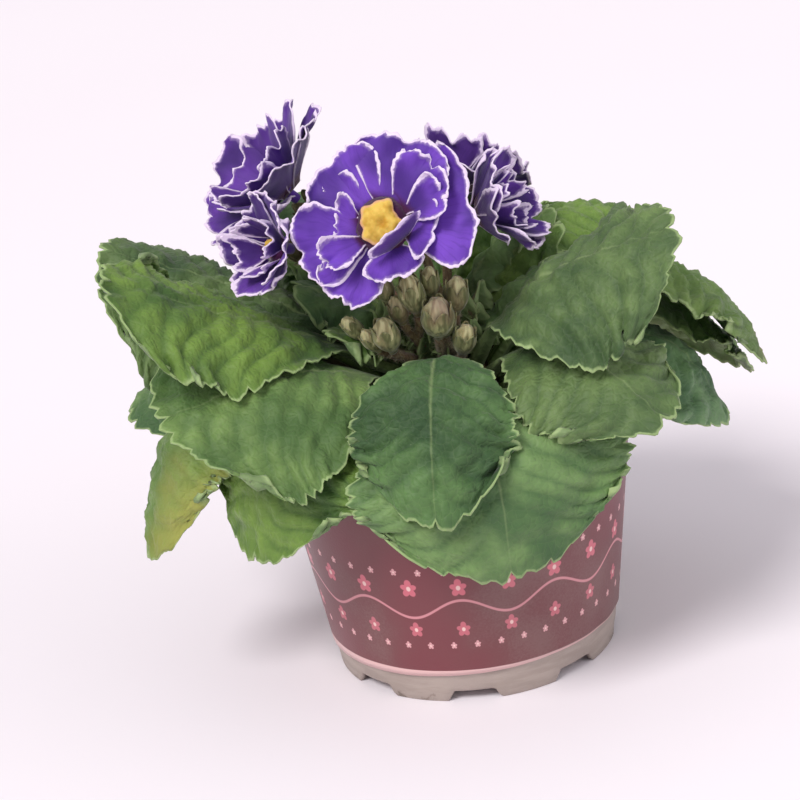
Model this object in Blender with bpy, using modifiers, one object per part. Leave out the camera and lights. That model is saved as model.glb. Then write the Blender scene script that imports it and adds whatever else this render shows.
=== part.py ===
"""A double primrose in a round plastic pot, in metres, +Z up, with the origin at the middle of the pot's foot.

The pot holds a plug of compost, and the plant's crown stands in a plain hole in it. Leaves, flower stalks and
buds spread from the crown's dome like spokes. The front of the plant faces -Y.
"""

import math
from typing import NamedTuple

import bmesh
import bpy
from mathutils import Matrix, Vector

MM = 0.001

# Pot, with its collar under the rim and its foot cut into arches
POT_HEIGHT = 82 * MM
RIM_RADIUS = 51.5 * MM
FOOT_RADIUS = 39 * MM
COLLAR_HEIGHT = 10 * MM
COLLAR_STEP = 2.2 * MM
POT_WALL = 1.3 * MM
POT_SIDES = 40
FLOOR_RISE = 4.5 * MM
ARCH_COUNT = 8
ARCH_WIDTH = 15 * MM
ARCH_HEIGHT = 3 * MM
FIRST_ARCH = math.radians(-94)
DRAIN_RADIUS = 3 * MM
DRAIN_CIRCLE = 27 * MM

# Printed sleeve round the pot's wall
SLEEVE_BOTTOM = 9 * MM
SLEEVE_TOP = 68 * MM
SLEEVE_WALL = 0.6 * MM

GAP = 0.3 * MM  # left between solids that touch

# Compost and crown
SOIL_TOP = 73 * MM
SOIL_HUMMOCK = 1.6 * MM
CROWN_RADIUS = 14 * MM
CROWN_CENTRE = Vector((0, 0, 73 * MM))
ROOTSTOCK_DEPTH = 26 * MM

# Leaf blades
BLADE_THICKNESS = 0.8 * MM
STALK_THICKNESS = 3.4 * MM
STALK_HALF_WIDTH = 2.5 * MM
STALK_SHARE = 0.2
BLADE_ROWS = 10
STALK_ROWS = 2
BLADE_COLUMNS = (-1.0, -0.56, 0.0, 0.56, 1.0)
WIDEST = 0.62
TIP_NARROWING = 0.44
TIP_ROUNDING = 0.24
TOOTH_DEPTH = 1.4 * MM
WAVES = 2.6

# Blooms and buds
PETAL_THICKNESS = 0.6 * MM
BUTTON_MARGIN = 1.8 * MM
BUTTON_DEPTH = 2.4 * MM
EYE_HEIGHT = 1.4 * MM
EYE_GAP = 0.5 * MM
CALYX_LENGTH = 12 * MM
STEM_RADIUS = 1.2 * MM
TUBE_LENGTH = 4 * MM


class Leaf(NamedTuple):
    """A leaf's pose and size, in degrees and millimetres. Azimuth 0 is +X, and -90 is the front."""

    azimuth: float
    seat: float  # height of its foot on the crown's dome
    rise: float  # climb of the midrib at the foot
    fall: float  # climb of the midrib at the tip
    length: float
    half_width: float
    fold: float  # how far each half hangs beside the midrib
    curl: float  # how much more it hangs at the edge
    roll: float  # turn of the blade about the midrib, towards its left
    sway: float  # sideways turn of the tip, towards its left
    ruffle: float


LEAVES = {
    "leaf_low_front": Leaf(-82, 13, 35, -97, 82, 36, 1, 11, 0, 5, 1.4),
    "leaf_low_front_left": Leaf(-139, 13, 36, -84, 81, 29, 4, 11, 6, -10, 1.4),
    "leaf_low_left": Leaf(-169, 11, 36, -81, 104, 18, 11, 20, 7, 8, 1.6),
    "leaf_low_right": Leaf(-5, 11, 41, -68, 79, 28, 9, 13, -3, -3, 1.6),
    "leaf_low_back_right": Leaf(20, 13, 38, -64, 96, 25, 8, 15, 8, 4, 1.6),
    "leaf_low_back": Leaf(70, 12, 36, -78, 84, 26, 5, 9, 12, -3, 1.6),
    "leaf_low_back_left": Leaf(122, 15, 34, -76, 86, 27, 6, 12, 8, 4, 1.6),
    "leaf_low_far_left": Leaf(168, 23, 34, -42, 86, 27, 13, 18, 28, 1, 1.6),
    "leaf_mid_front_left": Leaf(-136, 30, 33, -11, 78, 33, 6, 12, 31, -24, 1.8),
    "leaf_mid_front": Leaf(-93, 40, 43, -72, 81, 21, 8, 13, 4, -7, 1.8),
    "leaf_mid_front_right": Leaf(-50, 31, 40, -37, 73, 23, 13, 10, -14, 6, 1.8),
    "leaf_mid_right": Leaf(4, 36, 52, -70, 104, 20, 10, 11, 3, 5, 1.8),
    "leaf_mid_back_right": Leaf(50, 35, 47, -48, 86, 21, 13, 20, 8, 2, 1.8),
    "leaf_mid_back": Leaf(92, 38, 50, -47, 73, 22, 6, 14, 8, 0, 1.8),
    "leaf_mid_back_left": Leaf(129, 38, 50, -47, 88, 22, 8, 16, 8, 0, 1.8),
    "leaf_mid_left": Leaf(171, 40, 38, 17, 88, 33, 19, 20, 24, 1, 1.8),
    "leaf_top_left": Leaf(-157, 48, 32, 28, 91, 25, 6, 13, 26, 0, 2.0),
    "leaf_top_right": Leaf(-50, 47, 54, 13, 77, 29, 6, 22, -30, 40, 2.0),
    "leaf_top_back_right": Leaf(34, 59, 59, -26, 80, 18, 7, 14, -6, 8, 1.8),
    "leaf_top_back": Leaf(81, 58, 64, -15, 78, 19, 10, 17, 4, 5, 1.8),
    "leaf_top_back_left": Leaf(132, 60, 60, -10, 84, 23, 8, 18, 10, 0, 1.8),
}


class Petal(NamedTuple):
    """A petal's pose and size. Angle 0 is the bloom's right seen from its front, and 90 its top."""

    angle: float
    root: float  # how far its foot is from the bloom's middle
    height: float  # how far its foot is in front of the bloom's plane
    rise: float  # its lean to the front at the foot
    fall: float  # the same at the tip
    length: float
    half_width: float
    cup: float  # how far its edges bend to the front
    twist: float


class Bloom(NamedTuple):
    """A bloom: its eye's place in millimetres, the way it faces, its foot on the crown and its petals."""

    place: tuple
    azimuth: float
    elevation: float
    foot_azimuth: float
    foot_seat: float
    eye: float  # radius of its eye
    petals: tuple


MAIN_PETALS = (
    Petal(69, 4, -1.4, 20, 4, 20, 13, 2.5, -8),
    Petal(127, 4, -2.4, 14, -4, 19, 11, 2, -8),
    Petal(156, 4, -2.6, 8, -10, 15, 10, 2, -6),
    Petal(-164, 4, -1.5, 20, 2, 20, 11, 3, -8),
    Petal(-124, 4, -2.0, 16, -2, 19.5, 8.5, 2, -6),
    Petal(-78, 5, -1.4, 34, 16, 12, 8, 3, -8),
    Petal(8, 4, -1.8, 22, 8, 21, 17, 4, -10),
    Petal(42, 5.5, -0.9, 32, 12, 16, 9, 4, -10),
    Petal(18, 6.4, -0.4, 42, 24, 13.5, 6, 4, -8),
    Petal(-18, 6.4, -0.7, 40, 30, 10, 8, 4, -10),
    Petal(-53, 6.2, -0.6, 86, 112, 9.5, 8.5, 2, 0),
    Petal(-146, 6.4, -0.4, 42, 20, 14, 4.5, 5, -8),
    Petal(172, 6.2, -0.9, 34, 16, 7, 7, 3, -8),
)


def whorls(*rings):
    """Petals in rings of (count, first angle, root, height, rise, fall, length, half width, cup, twist)."""
    petals = []
    for count, first, root, height, rise, fall, length, half, cup, twist in rings:
        for turn in range(count):
            uneven = math.sin(2.3 * turn + first)
            petals.append(
                Petal(
                    first + 360 * turn / count + 5 * uneven,
                    root,
                    height - 0.3 * (turn % 2),
                    rise + 6 * uneven,
                    fall + 9 * math.cos(1.7 * turn + first),
                    length * (1 + 0.06 * uneven),
                    half,
                    cup,
                    twist,
                )
            )
    return tuple(petals)


BLOOMS = {
    "bloom_main": Bloom((-11, -29, 133), -96, 30, -95, 72, 5.6, MAIN_PETALS),
    "bloom_left": Bloom(
        (-38, 13, 134), -166, 44, 165, 74, 4,
        whorls((6, 20, 3, -2, 34, 18, 23, 12, 3, -12), (5, 50, 4.8, -0.6, 60, 44, 15, 9, 4, -10)),
    ),
    "bloom_low": Bloom(
        (-40, -21, 128), -144, 20, -150, 70, 2.4,
        whorls((5, 0, 2.5, -2, 40, 26, 13, 8.5, 4, -12), (4, 30, 3.2, -0.6, 66, 60, 9, 5, 4, -10)),
    ),
    "bloom_back": Bloom(
        (9, 18, 129), 66, 56, 50, 76, 4,
        whorls((6, 0, 3, -2, 20, 2, 18, 11, 3, -12), (5, 30, 4.8, -0.6, 50, 34, 12, 8, 4, -10)),
    ),
    "bloom_right": Bloom(
        (16, -8, 127), -16, 22, -20, 70, 2.4,
        whorls((6, 10, 2.5, -2, 46, 36, 16, 8, 4, -12), (4, 30, 3.2, -0.6, 66, 58, 11, 5, 4, -10)),
    ),
}


class Bud(NamedTuple):
    """A bud: its tip's place in millimetres, the lean of its body, its foot on the crown and its size."""

    place: tuple
    azimuth: float
    elevation: float
    foot_azimuth: float
    foot_seat: float
    length: float
    radius: float


BUDS = {
    "bud_1": Bud((-15, -30, 108), -110, 60, -116, 56, 13, 3.6),
    "bud_2": Bud((0, -31, 112), -86, 60, -90, 56, 15, 4.4),
    "bud_3": Bud((6, -24, 115), -70, 70, -52, 66, 12, 3.4),
    "bud_4": Bud((-7, -27, 118), -110, 66, -142, 58, 14, 3.6),
    "bud_5": Bud((7, -29, 103), -74, 54, -68, 57, 12, 3.2),
}

BODY = bpy.data.collections.new("potted_primrose")
CUTTERS = bpy.data.collections.new("cutters")


def clear_scene():
    for old in list(bpy.data.objects):
        bpy.data.objects.remove(old, do_unlink=True)
    for collection in (BODY, CUTTERS):
        bpy.context.scene.collection.children.link(collection)


def paint(name, colour, roughness, metallic=0.0):
    material = bpy.data.materials.new(name)
    material.use_nodes = True
    shader = material.node_tree.nodes["Principled BSDF"]
    shader.inputs["Base Color"].default_value = (*colour, 1)
    shader.inputs["Roughness"].default_value = roughness
    shader.inputs["Metallic"].default_value = metallic
    return material


PLASTIC = paint("pot_plastic", (0.40, 0.34, 0.29), 0.45)
PRINT = paint("sleeve_print", (0.20, 0.045, 0.055), 0.35)
COMPOST = paint("compost", (0.045, 0.028, 0.018), 0.95)
CROWN_SKIN = paint("crown_skin", (0.17, 0.16, 0.07), 0.8)
LEAF_GREEN = paint("leaf_green", (0.11, 0.22, 0.07), 0.55)
STEM_GREEN = paint("stem_green", (0.24, 0.22, 0.11), 0.7)
VIOLET = paint("petal_violet", (0.11, 0.035, 0.36), 0.6)
YELLOW = paint("eye_yellow", (0.80, 0.50, 0.06), 0.6)


def keep(name, mesh, material, collection=BODY):
    """A new object with this mesh and material, at the origin."""
    piece = bpy.data.objects.new(name, mesh)
    mesh.materials.clear()
    if material:
        mesh.materials.append(material)
    collection.objects.link(piece)
    return piece


def mesh_from(build):
    """A mesh that the function build fills in a bmesh."""
    draft = bmesh.new()
    build(draft)
    mesh = bpy.data.meshes.new("mesh")
    draft.to_mesh(mesh)
    draft.free()
    return mesh


def baked(piece):
    """The piece's evaluated shape as a plain mesh, in world space; the piece is removed."""
    bpy.context.view_layer.update()
    graph = bpy.context.evaluated_depsgraph_get()
    mesh = bpy.data.meshes.new_from_object(piece.evaluated_get(graph))
    mesh.transform(piece.matrix_world)
    bpy.data.objects.remove(piece, do_unlink=True)
    draft = bmesh.new()
    draft.from_mesh(mesh)
    bmesh.ops.remove_doubles(draft, verts=draft.verts, dist=0.00001)
    draft.to_mesh(mesh)
    draft.free()
    return mesh


def combine(base, others, operation):
    """A Boolean of the base object with a list of others, applied; the others are removed."""
    group = bpy.data.collections.new("operands")
    bpy.context.scene.collection.children.link(group)
    for other in others:
        for home in list(other.users_collection):
            home.objects.unlink(other)
        group.objects.link(other)
    step = base.modifiers.new("Combine", "BOOLEAN")
    step.operation = operation
    step.operand_type = "COLLECTION"
    step.collection = group
    step.solver = "MANIFOLD"
    bpy.context.view_layer.update()
    graph = bpy.context.evaluated_depsgraph_get()
    mesh = bpy.data.meshes.new_from_object(base.evaluated_get(graph))
    base.modifiers.clear()
    base.data = mesh
    for other in others:
        bpy.data.objects.remove(other, do_unlink=True)
    bpy.data.collections.remove(group)
    return base


def turned(name, profile, material, sides=POT_SIDES, collection=BODY):
    """A shape turned about Z from a closed profile of (radius, height) points, down its outer side."""

    def outline(draft):
        corners = [draft.verts.new((radius, 0, height)) for radius, height in profile]
        closing = [] if profile[0][0] == profile[-1][0] == 0 else [corners[0]]
        for start, end in zip(corners, corners[1:] + closing):
            draft.edges.new((start, end))

    piece = keep(name, mesh_from(outline), material, collection)
    screw = piece.modifiers.new("Turn", "SCREW")
    screw.steps = screw.render_steps = sides
    screw.use_merge_vertices = True
    screw.merge_threshold = 0.00005
    screw.use_normal_calculate = True
    return piece


def wall_radius(height):
    """Outer radius of the pot's plain wall at a height."""
    top = POT_HEIGHT - COLLAR_HEIGHT
    return FOOT_RADIUS + (RIM_RADIUS - COLLAR_STEP - FOOT_RADIUS) * height / top


def make_pot():
    collar = POT_HEIGHT - COLLAR_HEIGHT
    lip = 0.8 * MM
    step = 1.5 * MM
    profile = [
        (RIM_RADIUS - lip, POT_HEIGHT),
        (RIM_RADIUS, POT_HEIGHT - lip),
        (RIM_RADIUS - lip, collar + step),
        (wall_radius(collar), collar),
        (FOOT_RADIUS, 0),
        (FOOT_RADIUS - POT_WALL, 0),
        (wall_radius(FLOOR_RISE) - POT_WALL, FLOOR_RISE - POT_WALL),
        (0, FLOOR_RISE - POT_WALL),
        (0, FLOOR_RISE),
        (wall_radius(FLOOR_RISE) - POT_WALL, FLOOR_RISE),
        (wall_radius(collar) - POT_WALL, collar),
        (RIM_RADIUS - lip - POT_WALL, collar + step),
        (RIM_RADIUS - lip - POT_WALL, POT_HEIGHT - lip),
        (RIM_RADIUS - lip - 0.5 * POT_WALL, POT_HEIGHT),
    ]
    pot = turned("pot", profile, PLASTIC)
    pot = keep("pot", baked(pot), PLASTIC)
    combine(pot, [arch_cutter(turn) for turn in range(ARCH_COUNT)] + drain_cutters(), "DIFFERENCE")


def arch_cutter(turn):
    """A wedge that cuts one arch through the foot's wall."""
    angle = FIRST_ARCH + turn * math.tau / ARCH_COUNT

    def wedge(draft):
        bmesh.ops.create_cube(draft, size=1)
        for corner in draft.verts:
            across = ARCH_WIDTH * (0.5 if corner.co.z < 0 else 0.34)
            corner.co.x = FOOT_RADIUS + corner.co.x * 8 * MM
            corner.co.y *= 2 * across
            corner.co.z = -1 * MM if corner.co.z < 0 else ARCH_HEIGHT
        bmesh.ops.rotate(draft, verts=draft.verts, matrix=Matrix.Rotation(angle, 3, "Z"))

    return keep("arch", mesh_from(wedge), None, CUTTERS)


def drain_cutters():
    """Round drain holes through the floor, one behind every second arch."""
    cutters = []
    for turn in range(0, ARCH_COUNT, 2):
        angle = FIRST_ARCH + turn * math.tau / ARCH_COUNT

        def hole(draft):
            size = 4 * POT_WALL
            bmesh.ops.create_cone(
                draft, cap_ends=True, segments=10, radius1=DRAIN_RADIUS, radius2=DRAIN_RADIUS, depth=size
            )
            centre = Vector((math.cos(angle), math.sin(angle), 0)) * DRAIN_CIRCLE
            bmesh.ops.translate(draft, verts=draft.verts, vec=centre + Vector((0, 0, FLOOR_RISE)))

        cutters.append(keep("drain", mesh_from(hole), None, CUTTERS))
    return cutters


def make_sleeve():
    inner_bottom = wall_radius(SLEEVE_BOTTOM) + GAP
    inner_top = wall_radius(SLEEVE_TOP) + GAP
    profile = [
        (inner_bottom, SLEEVE_BOTTOM),
        (inner_bottom + SLEEVE_WALL, SLEEVE_BOTTOM),
        (inner_top + SLEEVE_WALL, SLEEVE_TOP),
        (inner_top, SLEEVE_TOP),
    ]
    sleeve = turned("label_sleeve", profile, PRINT)
    sleeve.modifiers["Turn"].use_normal_flip = True


def make_compost():
    """The plug of compost, heaped a little towards the crown, with the crown's hole in it."""
    bottom = FLOOR_RISE + GAP
    edge_radius = wall_radius(SOIL_TOP - 3 * MM) - POT_WALL - 2 * GAP
    rings = 4
    profile = [(0, SOIL_TOP)]
    for ring in range(1, rings + 1):
        share = ring / rings
        profile.append((edge_radius * share, SOIL_TOP - 3 * MM * share**2))
    profile.append((wall_radius(bottom) - POT_WALL - 2 * GAP, bottom))
    profile.append((0, bottom))
    plug = turned("compost", profile, COMPOST)
    mesh = baked(plug)
    for point in mesh.vertices:
        flat = Vector((point.co.x, point.co.y))
        if point.co.z > SOIL_TOP - 4 * MM and 1 * MM < flat.length < edge_radius - 1 * MM:
            angle = math.atan2(flat.y, flat.x)
            bump = math.sin(5 * angle + 130 * flat.length) * math.cos(3 * angle - 210 * flat.length)
            point.co.z += SOIL_HUMMOCK * bump
    plug = keep("compost", mesh, COMPOST)

    def hole(draft):
        bmesh.ops.create_cone(
            draft,
            cap_ends=True,
            segments=20,
            radius1=0.4 * CROWN_RADIUS + GAP,
            radius2=CROWN_RADIUS + GAP,
            depth=ROOTSTOCK_DEPTH + GAP,
        )
        depth = CROWN_CENTRE.z - 0.5 * (ROOTSTOCK_DEPTH + GAP)
        bmesh.ops.translate(draft, verts=draft.verts, vec=(0, 0, depth))

    def mouth(draft):
        radius = CROWN_RADIUS + GAP
        bmesh.ops.create_cone(draft, cap_ends=True, segments=20, radius1=radius, radius2=radius, depth=8 * MM)
        bmesh.ops.translate(draft, verts=draft.verts, vec=(0, 0, CROWN_CENTRE.z + 3.99 * MM))

    cutters = [keep("cutter", mesh_from(build), None, CUTTERS) for build in (hole, mouth)]
    combine(plug, cutters, "DIFFERENCE")


def make_crown():
    """The short rootstock: a dome over a taper that stands in the compost."""
    steps = 5
    profile = []
    for step in range(steps + 1):
        angle = math.radians(90 - 90 * step / steps)
        radius = CROWN_RADIUS * math.cos(angle) if step else 0
        profile.append((radius, CROWN_CENTRE.z + CROWN_RADIUS * math.sin(angle)))
    foot = CROWN_CENTRE.z - ROOTSTOCK_DEPTH + GAP
    profile.append((0.4 * CROWN_RADIUS, foot))
    profile.append((0, foot))
    turned("crown", profile, CROWN_SKIN, sides=20)


def smooth(share):
    return share * share * (3 - 2 * share)


class Midrib:
    """The middle line of a leaf, in the leaf's own frame: +X outwards, +Y to its left, +Z up."""

    STEPS = 48

    def __init__(self, leaf):
        seat = math.radians(leaf.seat)
        start = CROWN_RADIUS + 1.5 * GAP
        point = CROWN_CENTRE + Vector((math.cos(seat), 0, math.sin(seat))) * start
        self.points = [point]
        self.climbs = []
        self.turns = []
        for step in range(self.STEPS + 1):
            share = step / self.STEPS
            self.climbs.append(math.radians(leaf.rise + (leaf.fall - leaf.rise) * smooth(share)))
            self.turns.append(math.radians(leaf.sway) * share)
            run = leaf.length * MM / self.STEPS
            self.points.append(self.points[-1] + run * self.heading(step))

    def heading(self, step):
        climb, turn = self.climbs[step], self.turns[step]
        return Vector((math.cos(climb) * math.cos(turn), math.cos(climb) * math.sin(turn), math.sin(climb)))

    def at(self, share):
        """The point, the way on, the way left and the way up at a share of the length."""
        place = min(max(share, 0), 0.9999) * self.STEPS
        step = int(place)
        point = self.points[step].lerp(self.points[step + 1], place - step)
        ahead = self.heading(step).lerp(self.heading(step + 1), place - step).normalized()
        left = Vector((0, 0, 1)).cross(ahead)
        if left.length < 0.2:
            left = Vector((-math.sin(self.turns[step]), math.cos(self.turns[step]), 0))
        left.normalize()
        return point, ahead, left, ahead.cross(left)


def blade_share(along):
    """How far along the blade a share of the whole leaf's length lies."""
    return max(0.0, (along - STALK_SHARE) / (1 - STALK_SHARE))


def half_width(leaf, along):
    """Half the leaf's width: a winged stalk that opens into a broad, round-ended blade."""
    share = blade_share(along)
    grow = math.sin(0.5 * math.pi * min(1, share / WIDEST)) ** 1.5
    past = max(0.0, share - WIDEST) / (1 - WIDEST)
    narrow = math.cos(0.5 * math.pi * TIP_NARROWING * past)
    return STALK_HALF_WIDTH + (leaf.half_width * MM - STALK_HALF_WIDTH) * grow * narrow


def leaf_point(leaf, midrib, along, across, tooth):
    """A point of the leaf's upper face; along runs 0 to 1, across -1 to 1 from right to left."""
    share = blade_share(along)
    reach = along - TIP_ROUNDING * (1 - math.sqrt(1 - 0.96 * across**2)) * share**3
    point, ahead, left, up = midrib.at(reach)
    offset = abs(across) * (half_width(leaf, along) + tooth)
    hang = math.radians((leaf.fold + leaf.curl * abs(across)) * min(1, 2 * share))
    roll = math.radians(leaf.roll) * smooth(along)
    lean = math.copysign(hang, across) + roll
    side = math.copysign(offset, across)
    phase = math.radians(leaf.azimuth) * 7 + (2.1 if across > 0 else 0)
    wave = leaf.ruffle * MM * across**2 * share * math.sin(math.tau * WAVES * share + phase)
    lift = wave - side * math.sin(lean)
    return point + left * side * math.cos(lean) + up * lift


def leaf_rows():
    """Shares of the length for the grid's rows, with fewer along the stalk."""
    stalk = [STALK_SHARE * row / STALK_ROWS for row in range(STALK_ROWS)]
    blade = [STALK_SHARE + (1 - STALK_SHARE) * row / BLADE_ROWS for row in range(BLADE_ROWS + 1)]
    return stalk + blade


def make_leaf(name, leaf):
    """A leaf as a sheet with its thickness below it: thick under the midrib, thin at the edge."""
    rows = leaf_rows()
    columns = BLADE_COLUMNS
    midrib = Midrib(leaf)
    weights = []

    def sheet(draft):
        bmesh.ops.create_grid(draft, x_segments=len(rows) - 1, y_segments=len(columns) - 1, size=1)
        for point in draft.verts:
            row = round((point.co.x + 1) / 2 * (len(rows) - 1))
            column = round((point.co.y + 1) / 2 * (len(columns) - 1))
            at_edge = column in (0, len(columns) - 1)
            last_row = row == len(rows) - 1
            toothed = (at_edge and row % 2 and row > STALK_ROWS) or (last_row and column % 2)
            along, across = rows[row], columns[column]
            tooth = TOOTH_DEPTH if toothed and at_edge else 0
            past_tip = 0.6 * TOOTH_DEPTH / (leaf.length * MM) if toothed and last_row else 0
            point.co = leaf_point(leaf, midrib, along + past_tip, across, tooth)
            weights.append(keel_weight(along, across))
        bmesh.ops.triangulate(draft, faces=draft.faces)

    piece = keep(name, mesh_from(sheet), LEAF_GREEN)
    keel = piece.vertex_groups.new(name="keel")
    for index, weight in enumerate(weights):
        keel.add([index], weight, "REPLACE")
    solid = piece.modifiers.new("Thickness", "SOLIDIFY")
    solid.thickness = STALK_THICKNESS
    solid.offset = -1
    solid.vertex_group = keel.name
    solid.use_quality_normals = True
    piece.rotation_euler.z = math.radians(leaf.azimuth)


def keel_weight(along, across):
    """The sheet's thickness as a share of the stalk's."""
    thin = BLADE_THICKNESS / STALK_THICKNESS
    middle = thin + (1 - thin) * max(0.0, 1 - along) ** 1.5
    edge = thin + (0.55 - thin) * max(0.0, 1 - along / STALK_SHARE)
    return middle if abs(across) < 0.3 else edge


def frame_of(place, azimuth, elevation):
    """A frame with +Z the way a bloom faces, +Y its top and +X its right seen from its front."""
    around, up = math.radians(azimuth), math.radians(elevation)
    facing = Vector((math.cos(around) * math.cos(up), math.sin(around) * math.cos(up), math.sin(up)))
    across = Vector((-math.sin(around), math.cos(around), 0))
    top = facing.cross(across)
    turn = Matrix((across, top, facing)).transposed().to_4x4()
    return Matrix.Translation(Vector(place) * MM) @ turn


def petal_point(petal, along, across):
    """A point of the petal's front face, in the bloom's frame; across runs -1 to 1."""
    length = petal.length * MM
    steps = 12
    reach = length * along * (1 - 0.16 * across**2 * along**2)
    out, front = 0.0, 0.0
    for step in range(steps):
        climb = math.radians(petal.rise + (petal.fall - petal.rise) * along * (step + 0.5) / steps)
        out += reach / steps * math.cos(climb)
        front += reach / steps * math.sin(climb)
    width = petal.half_width * MM * (0.3 + 0.7 * math.sin(0.5 * math.pi * min(1, along / 0.72)) ** 1.3)
    side = width * across
    front += petal.cup * MM * across**2 * along + side * math.tan(math.radians(petal.twist))
    front += 0.7 * MM * along**2 * across**2 * math.sin(5 * along + 3 * across + math.radians(3 * petal.angle))
    turn = Matrix.Rotation(math.radians(petal.angle), 3, "Z")
    return turn @ Vector((petal.root * MM + out, side, petal.height * MM + front))


def make_petal(petal):
    rows, columns = 3, 3

    def sheet(draft):
        bmesh.ops.create_grid(draft, x_segments=rows, y_segments=columns, size=1)
        for point in draft.verts:
            along, across = (point.co.x + 1) / 2, point.co.y
            point.co = petal_point(petal, along, across)
        bmesh.ops.triangulate(draft, faces=draft.faces)

    piece = keep("petal", mesh_from(sheet), VIOLET)
    solid = piece.modifiers.new("Thickness", "SOLIDIFY")
    solid.thickness = PETAL_THICKNESS
    solid.offset = -1
    return keep("petal", baked(piece), VIOLET)


def make_button(radius):
    """The bloom's middle and the top of its tube, that the petals grow from."""

    def lathe(draft):
        wide = 1.5 * MM
        bmesh.ops.create_cone(draft, cap_ends=True, segments=10, radius1=wide, radius2=wide, depth=TUBE_LENGTH)
        bmesh.ops.translate(draft, verts=draft.verts, vec=(0, 0, -2 * MM - TUBE_LENGTH / 2))

    def dome(draft):
        bmesh.ops.create_cone(
            draft, cap_ends=True, segments=12, radius1=0.4 * radius, radius2=radius, depth=BUTTON_DEPTH
        )
        bmesh.ops.translate(draft, verts=draft.verts, vec=(0, 0, -0.5 * BUTTON_DEPTH))

    tube = keep("tube", mesh_from(lathe), VIOLET)
    return combine(tube, [keep("dome", mesh_from(dome), VIOLET)], "UNION")


def make_bloom(name, bloom):
    """Petals on their button as one solid, the eye on it, and the stalk with its calyx under it."""
    place = frame_of(bloom.place, bloom.azimuth, bloom.elevation)
    button = make_button(bloom.eye * MM + BUTTON_MARGIN)
    petals = combine(button, [make_petal(petal) for petal in bloom.petals], "UNION")
    petals.name = petals.data.name = name
    petals.data.transform(place)

    def star(draft):
        bmesh.ops.create_cone(draft, cap_ends=True, segments=10, radius1=1, radius2=1, depth=1)
        for point in draft.verts:
            angle = math.atan2(point.co.y, point.co.x)
            reach = bloom.eye * MM * (0.86 + 0.14 * math.cos(5 * angle))
            upper = point.co.z > 0
            if upper:
                reach *= 0.8
            point.co = (reach * math.cos(angle), reach * math.sin(angle), EYE_HEIGHT if upper else 0)
        bmesh.ops.translate(draft, verts=draft.verts, vec=(0, 0, EYE_GAP))

    eye = keep(name.replace("bloom", "eye"), mesh_from(star), YELLOW)
    eye.data.transform(place)
    neck = place @ Vector((0, 0, -2 * MM - TUBE_LENGTH - GAP))
    way = place.to_3x3() @ Vector((0, 0, 1))
    rings = [(1.0, 3.7), (0.8, 3.9), (0.4, 3.4), (0.1, 1.9), (0.0, 1.5)]
    make_stem(name.replace("bloom", "stalk"), bloom, neck, way, CALYX_LENGTH, rings)


def foot_on_crown(azimuth, seat):
    around, up = math.radians(azimuth), math.radians(seat)
    way = Vector((math.cos(around) * math.cos(up), math.sin(around) * math.cos(up), math.sin(up)))
    return CROWN_CENTRE + way * (CROWN_RADIUS + 1.5 * GAP), way


def make_stem(name, flower, end, way, body_length, rings):
    """A stalk from the crown to end, arriving along way; rings swell its last part into a calyx or bud.

    Each ring is a share of that part's length and a radius in millimetres.
    """
    foot, out = foot_on_crown(flower.foot_azimuth, flower.foot_seat)
    base = end - way * body_length
    reach = (base - foot).length
    path = []
    steps = 6
    for step in range(steps):
        share = step / steps
        pull = 0.45 * reach
        point = (
            foot * (1 + 2 * share) * (1 - share) ** 2
            + base * (3 - 2 * share) * share**2
            + out * pull * share * (1 - share) ** 2
            - way * pull * share**2 * (1 - share)
        )
        path.append((point, STEM_RADIUS * (1.15 - 0.15 * share)))
    for share, radius in reversed(rings):
        path.append((base + way * body_length * share, radius * MM))
    curve = bpy.data.curves.new(name, "CURVE")
    curve.dimensions = "3D"
    curve.bevel_depth = 1
    curve.bevel_resolution = 1
    curve.use_fill_caps = True
    spline = curve.splines.new("POLY")
    spline.points.add(len(path) - 1)
    for knot, (point, radius) in zip(spline.points, path):
        knot.co = (*point, 1)
        knot.radius = radius
    piece = bpy.data.objects.new(name, curve)
    BODY.objects.link(piece)
    return keep(name, baked(piece), STEM_GREEN)


def make_bud(name, bud):
    place = frame_of(bud.place, bud.azimuth, bud.elevation)
    way = place.to_3x3() @ Vector((0, 0, 1))
    swell = [(0.85, 0.5), (0.6, 0.95), (0.3, 1.0), (0.08, 0.6)]
    rings = [(1.0, 0.5)] + [(share, part * bud.radius) for share, part in swell] + [(0.0, 1.3)]
    make_stem(name, bud, place.translation, way, bud.length * MM, rings)


def main():
    clear_scene()
    make_pot()
    make_sleeve()
    make_compost()
    make_crown()
    for name, leaf in LEAVES.items():
        make_leaf(name, leaf)
    for name, bloom in BLOOMS.items():
        make_bloom(name, bloom)
    for name, bud in BUDS.items():
        make_bud(name, bud)


main()
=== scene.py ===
"""The looks of a potted double primrose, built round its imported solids.

Leaves, petals, stalks and buds follow the formulas of the solids that they stand for, drawn finer. Lengths
are in metres, +Z is up, and the front of the plant faces -Y.
"""

import random
from math import atan2, copysign, cos, exp, pi, radians, sin, sqrt, tan, tau
from typing import NamedTuple

import bmesh
import bpy
from mathutils import Matrix, Vector, noise


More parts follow.
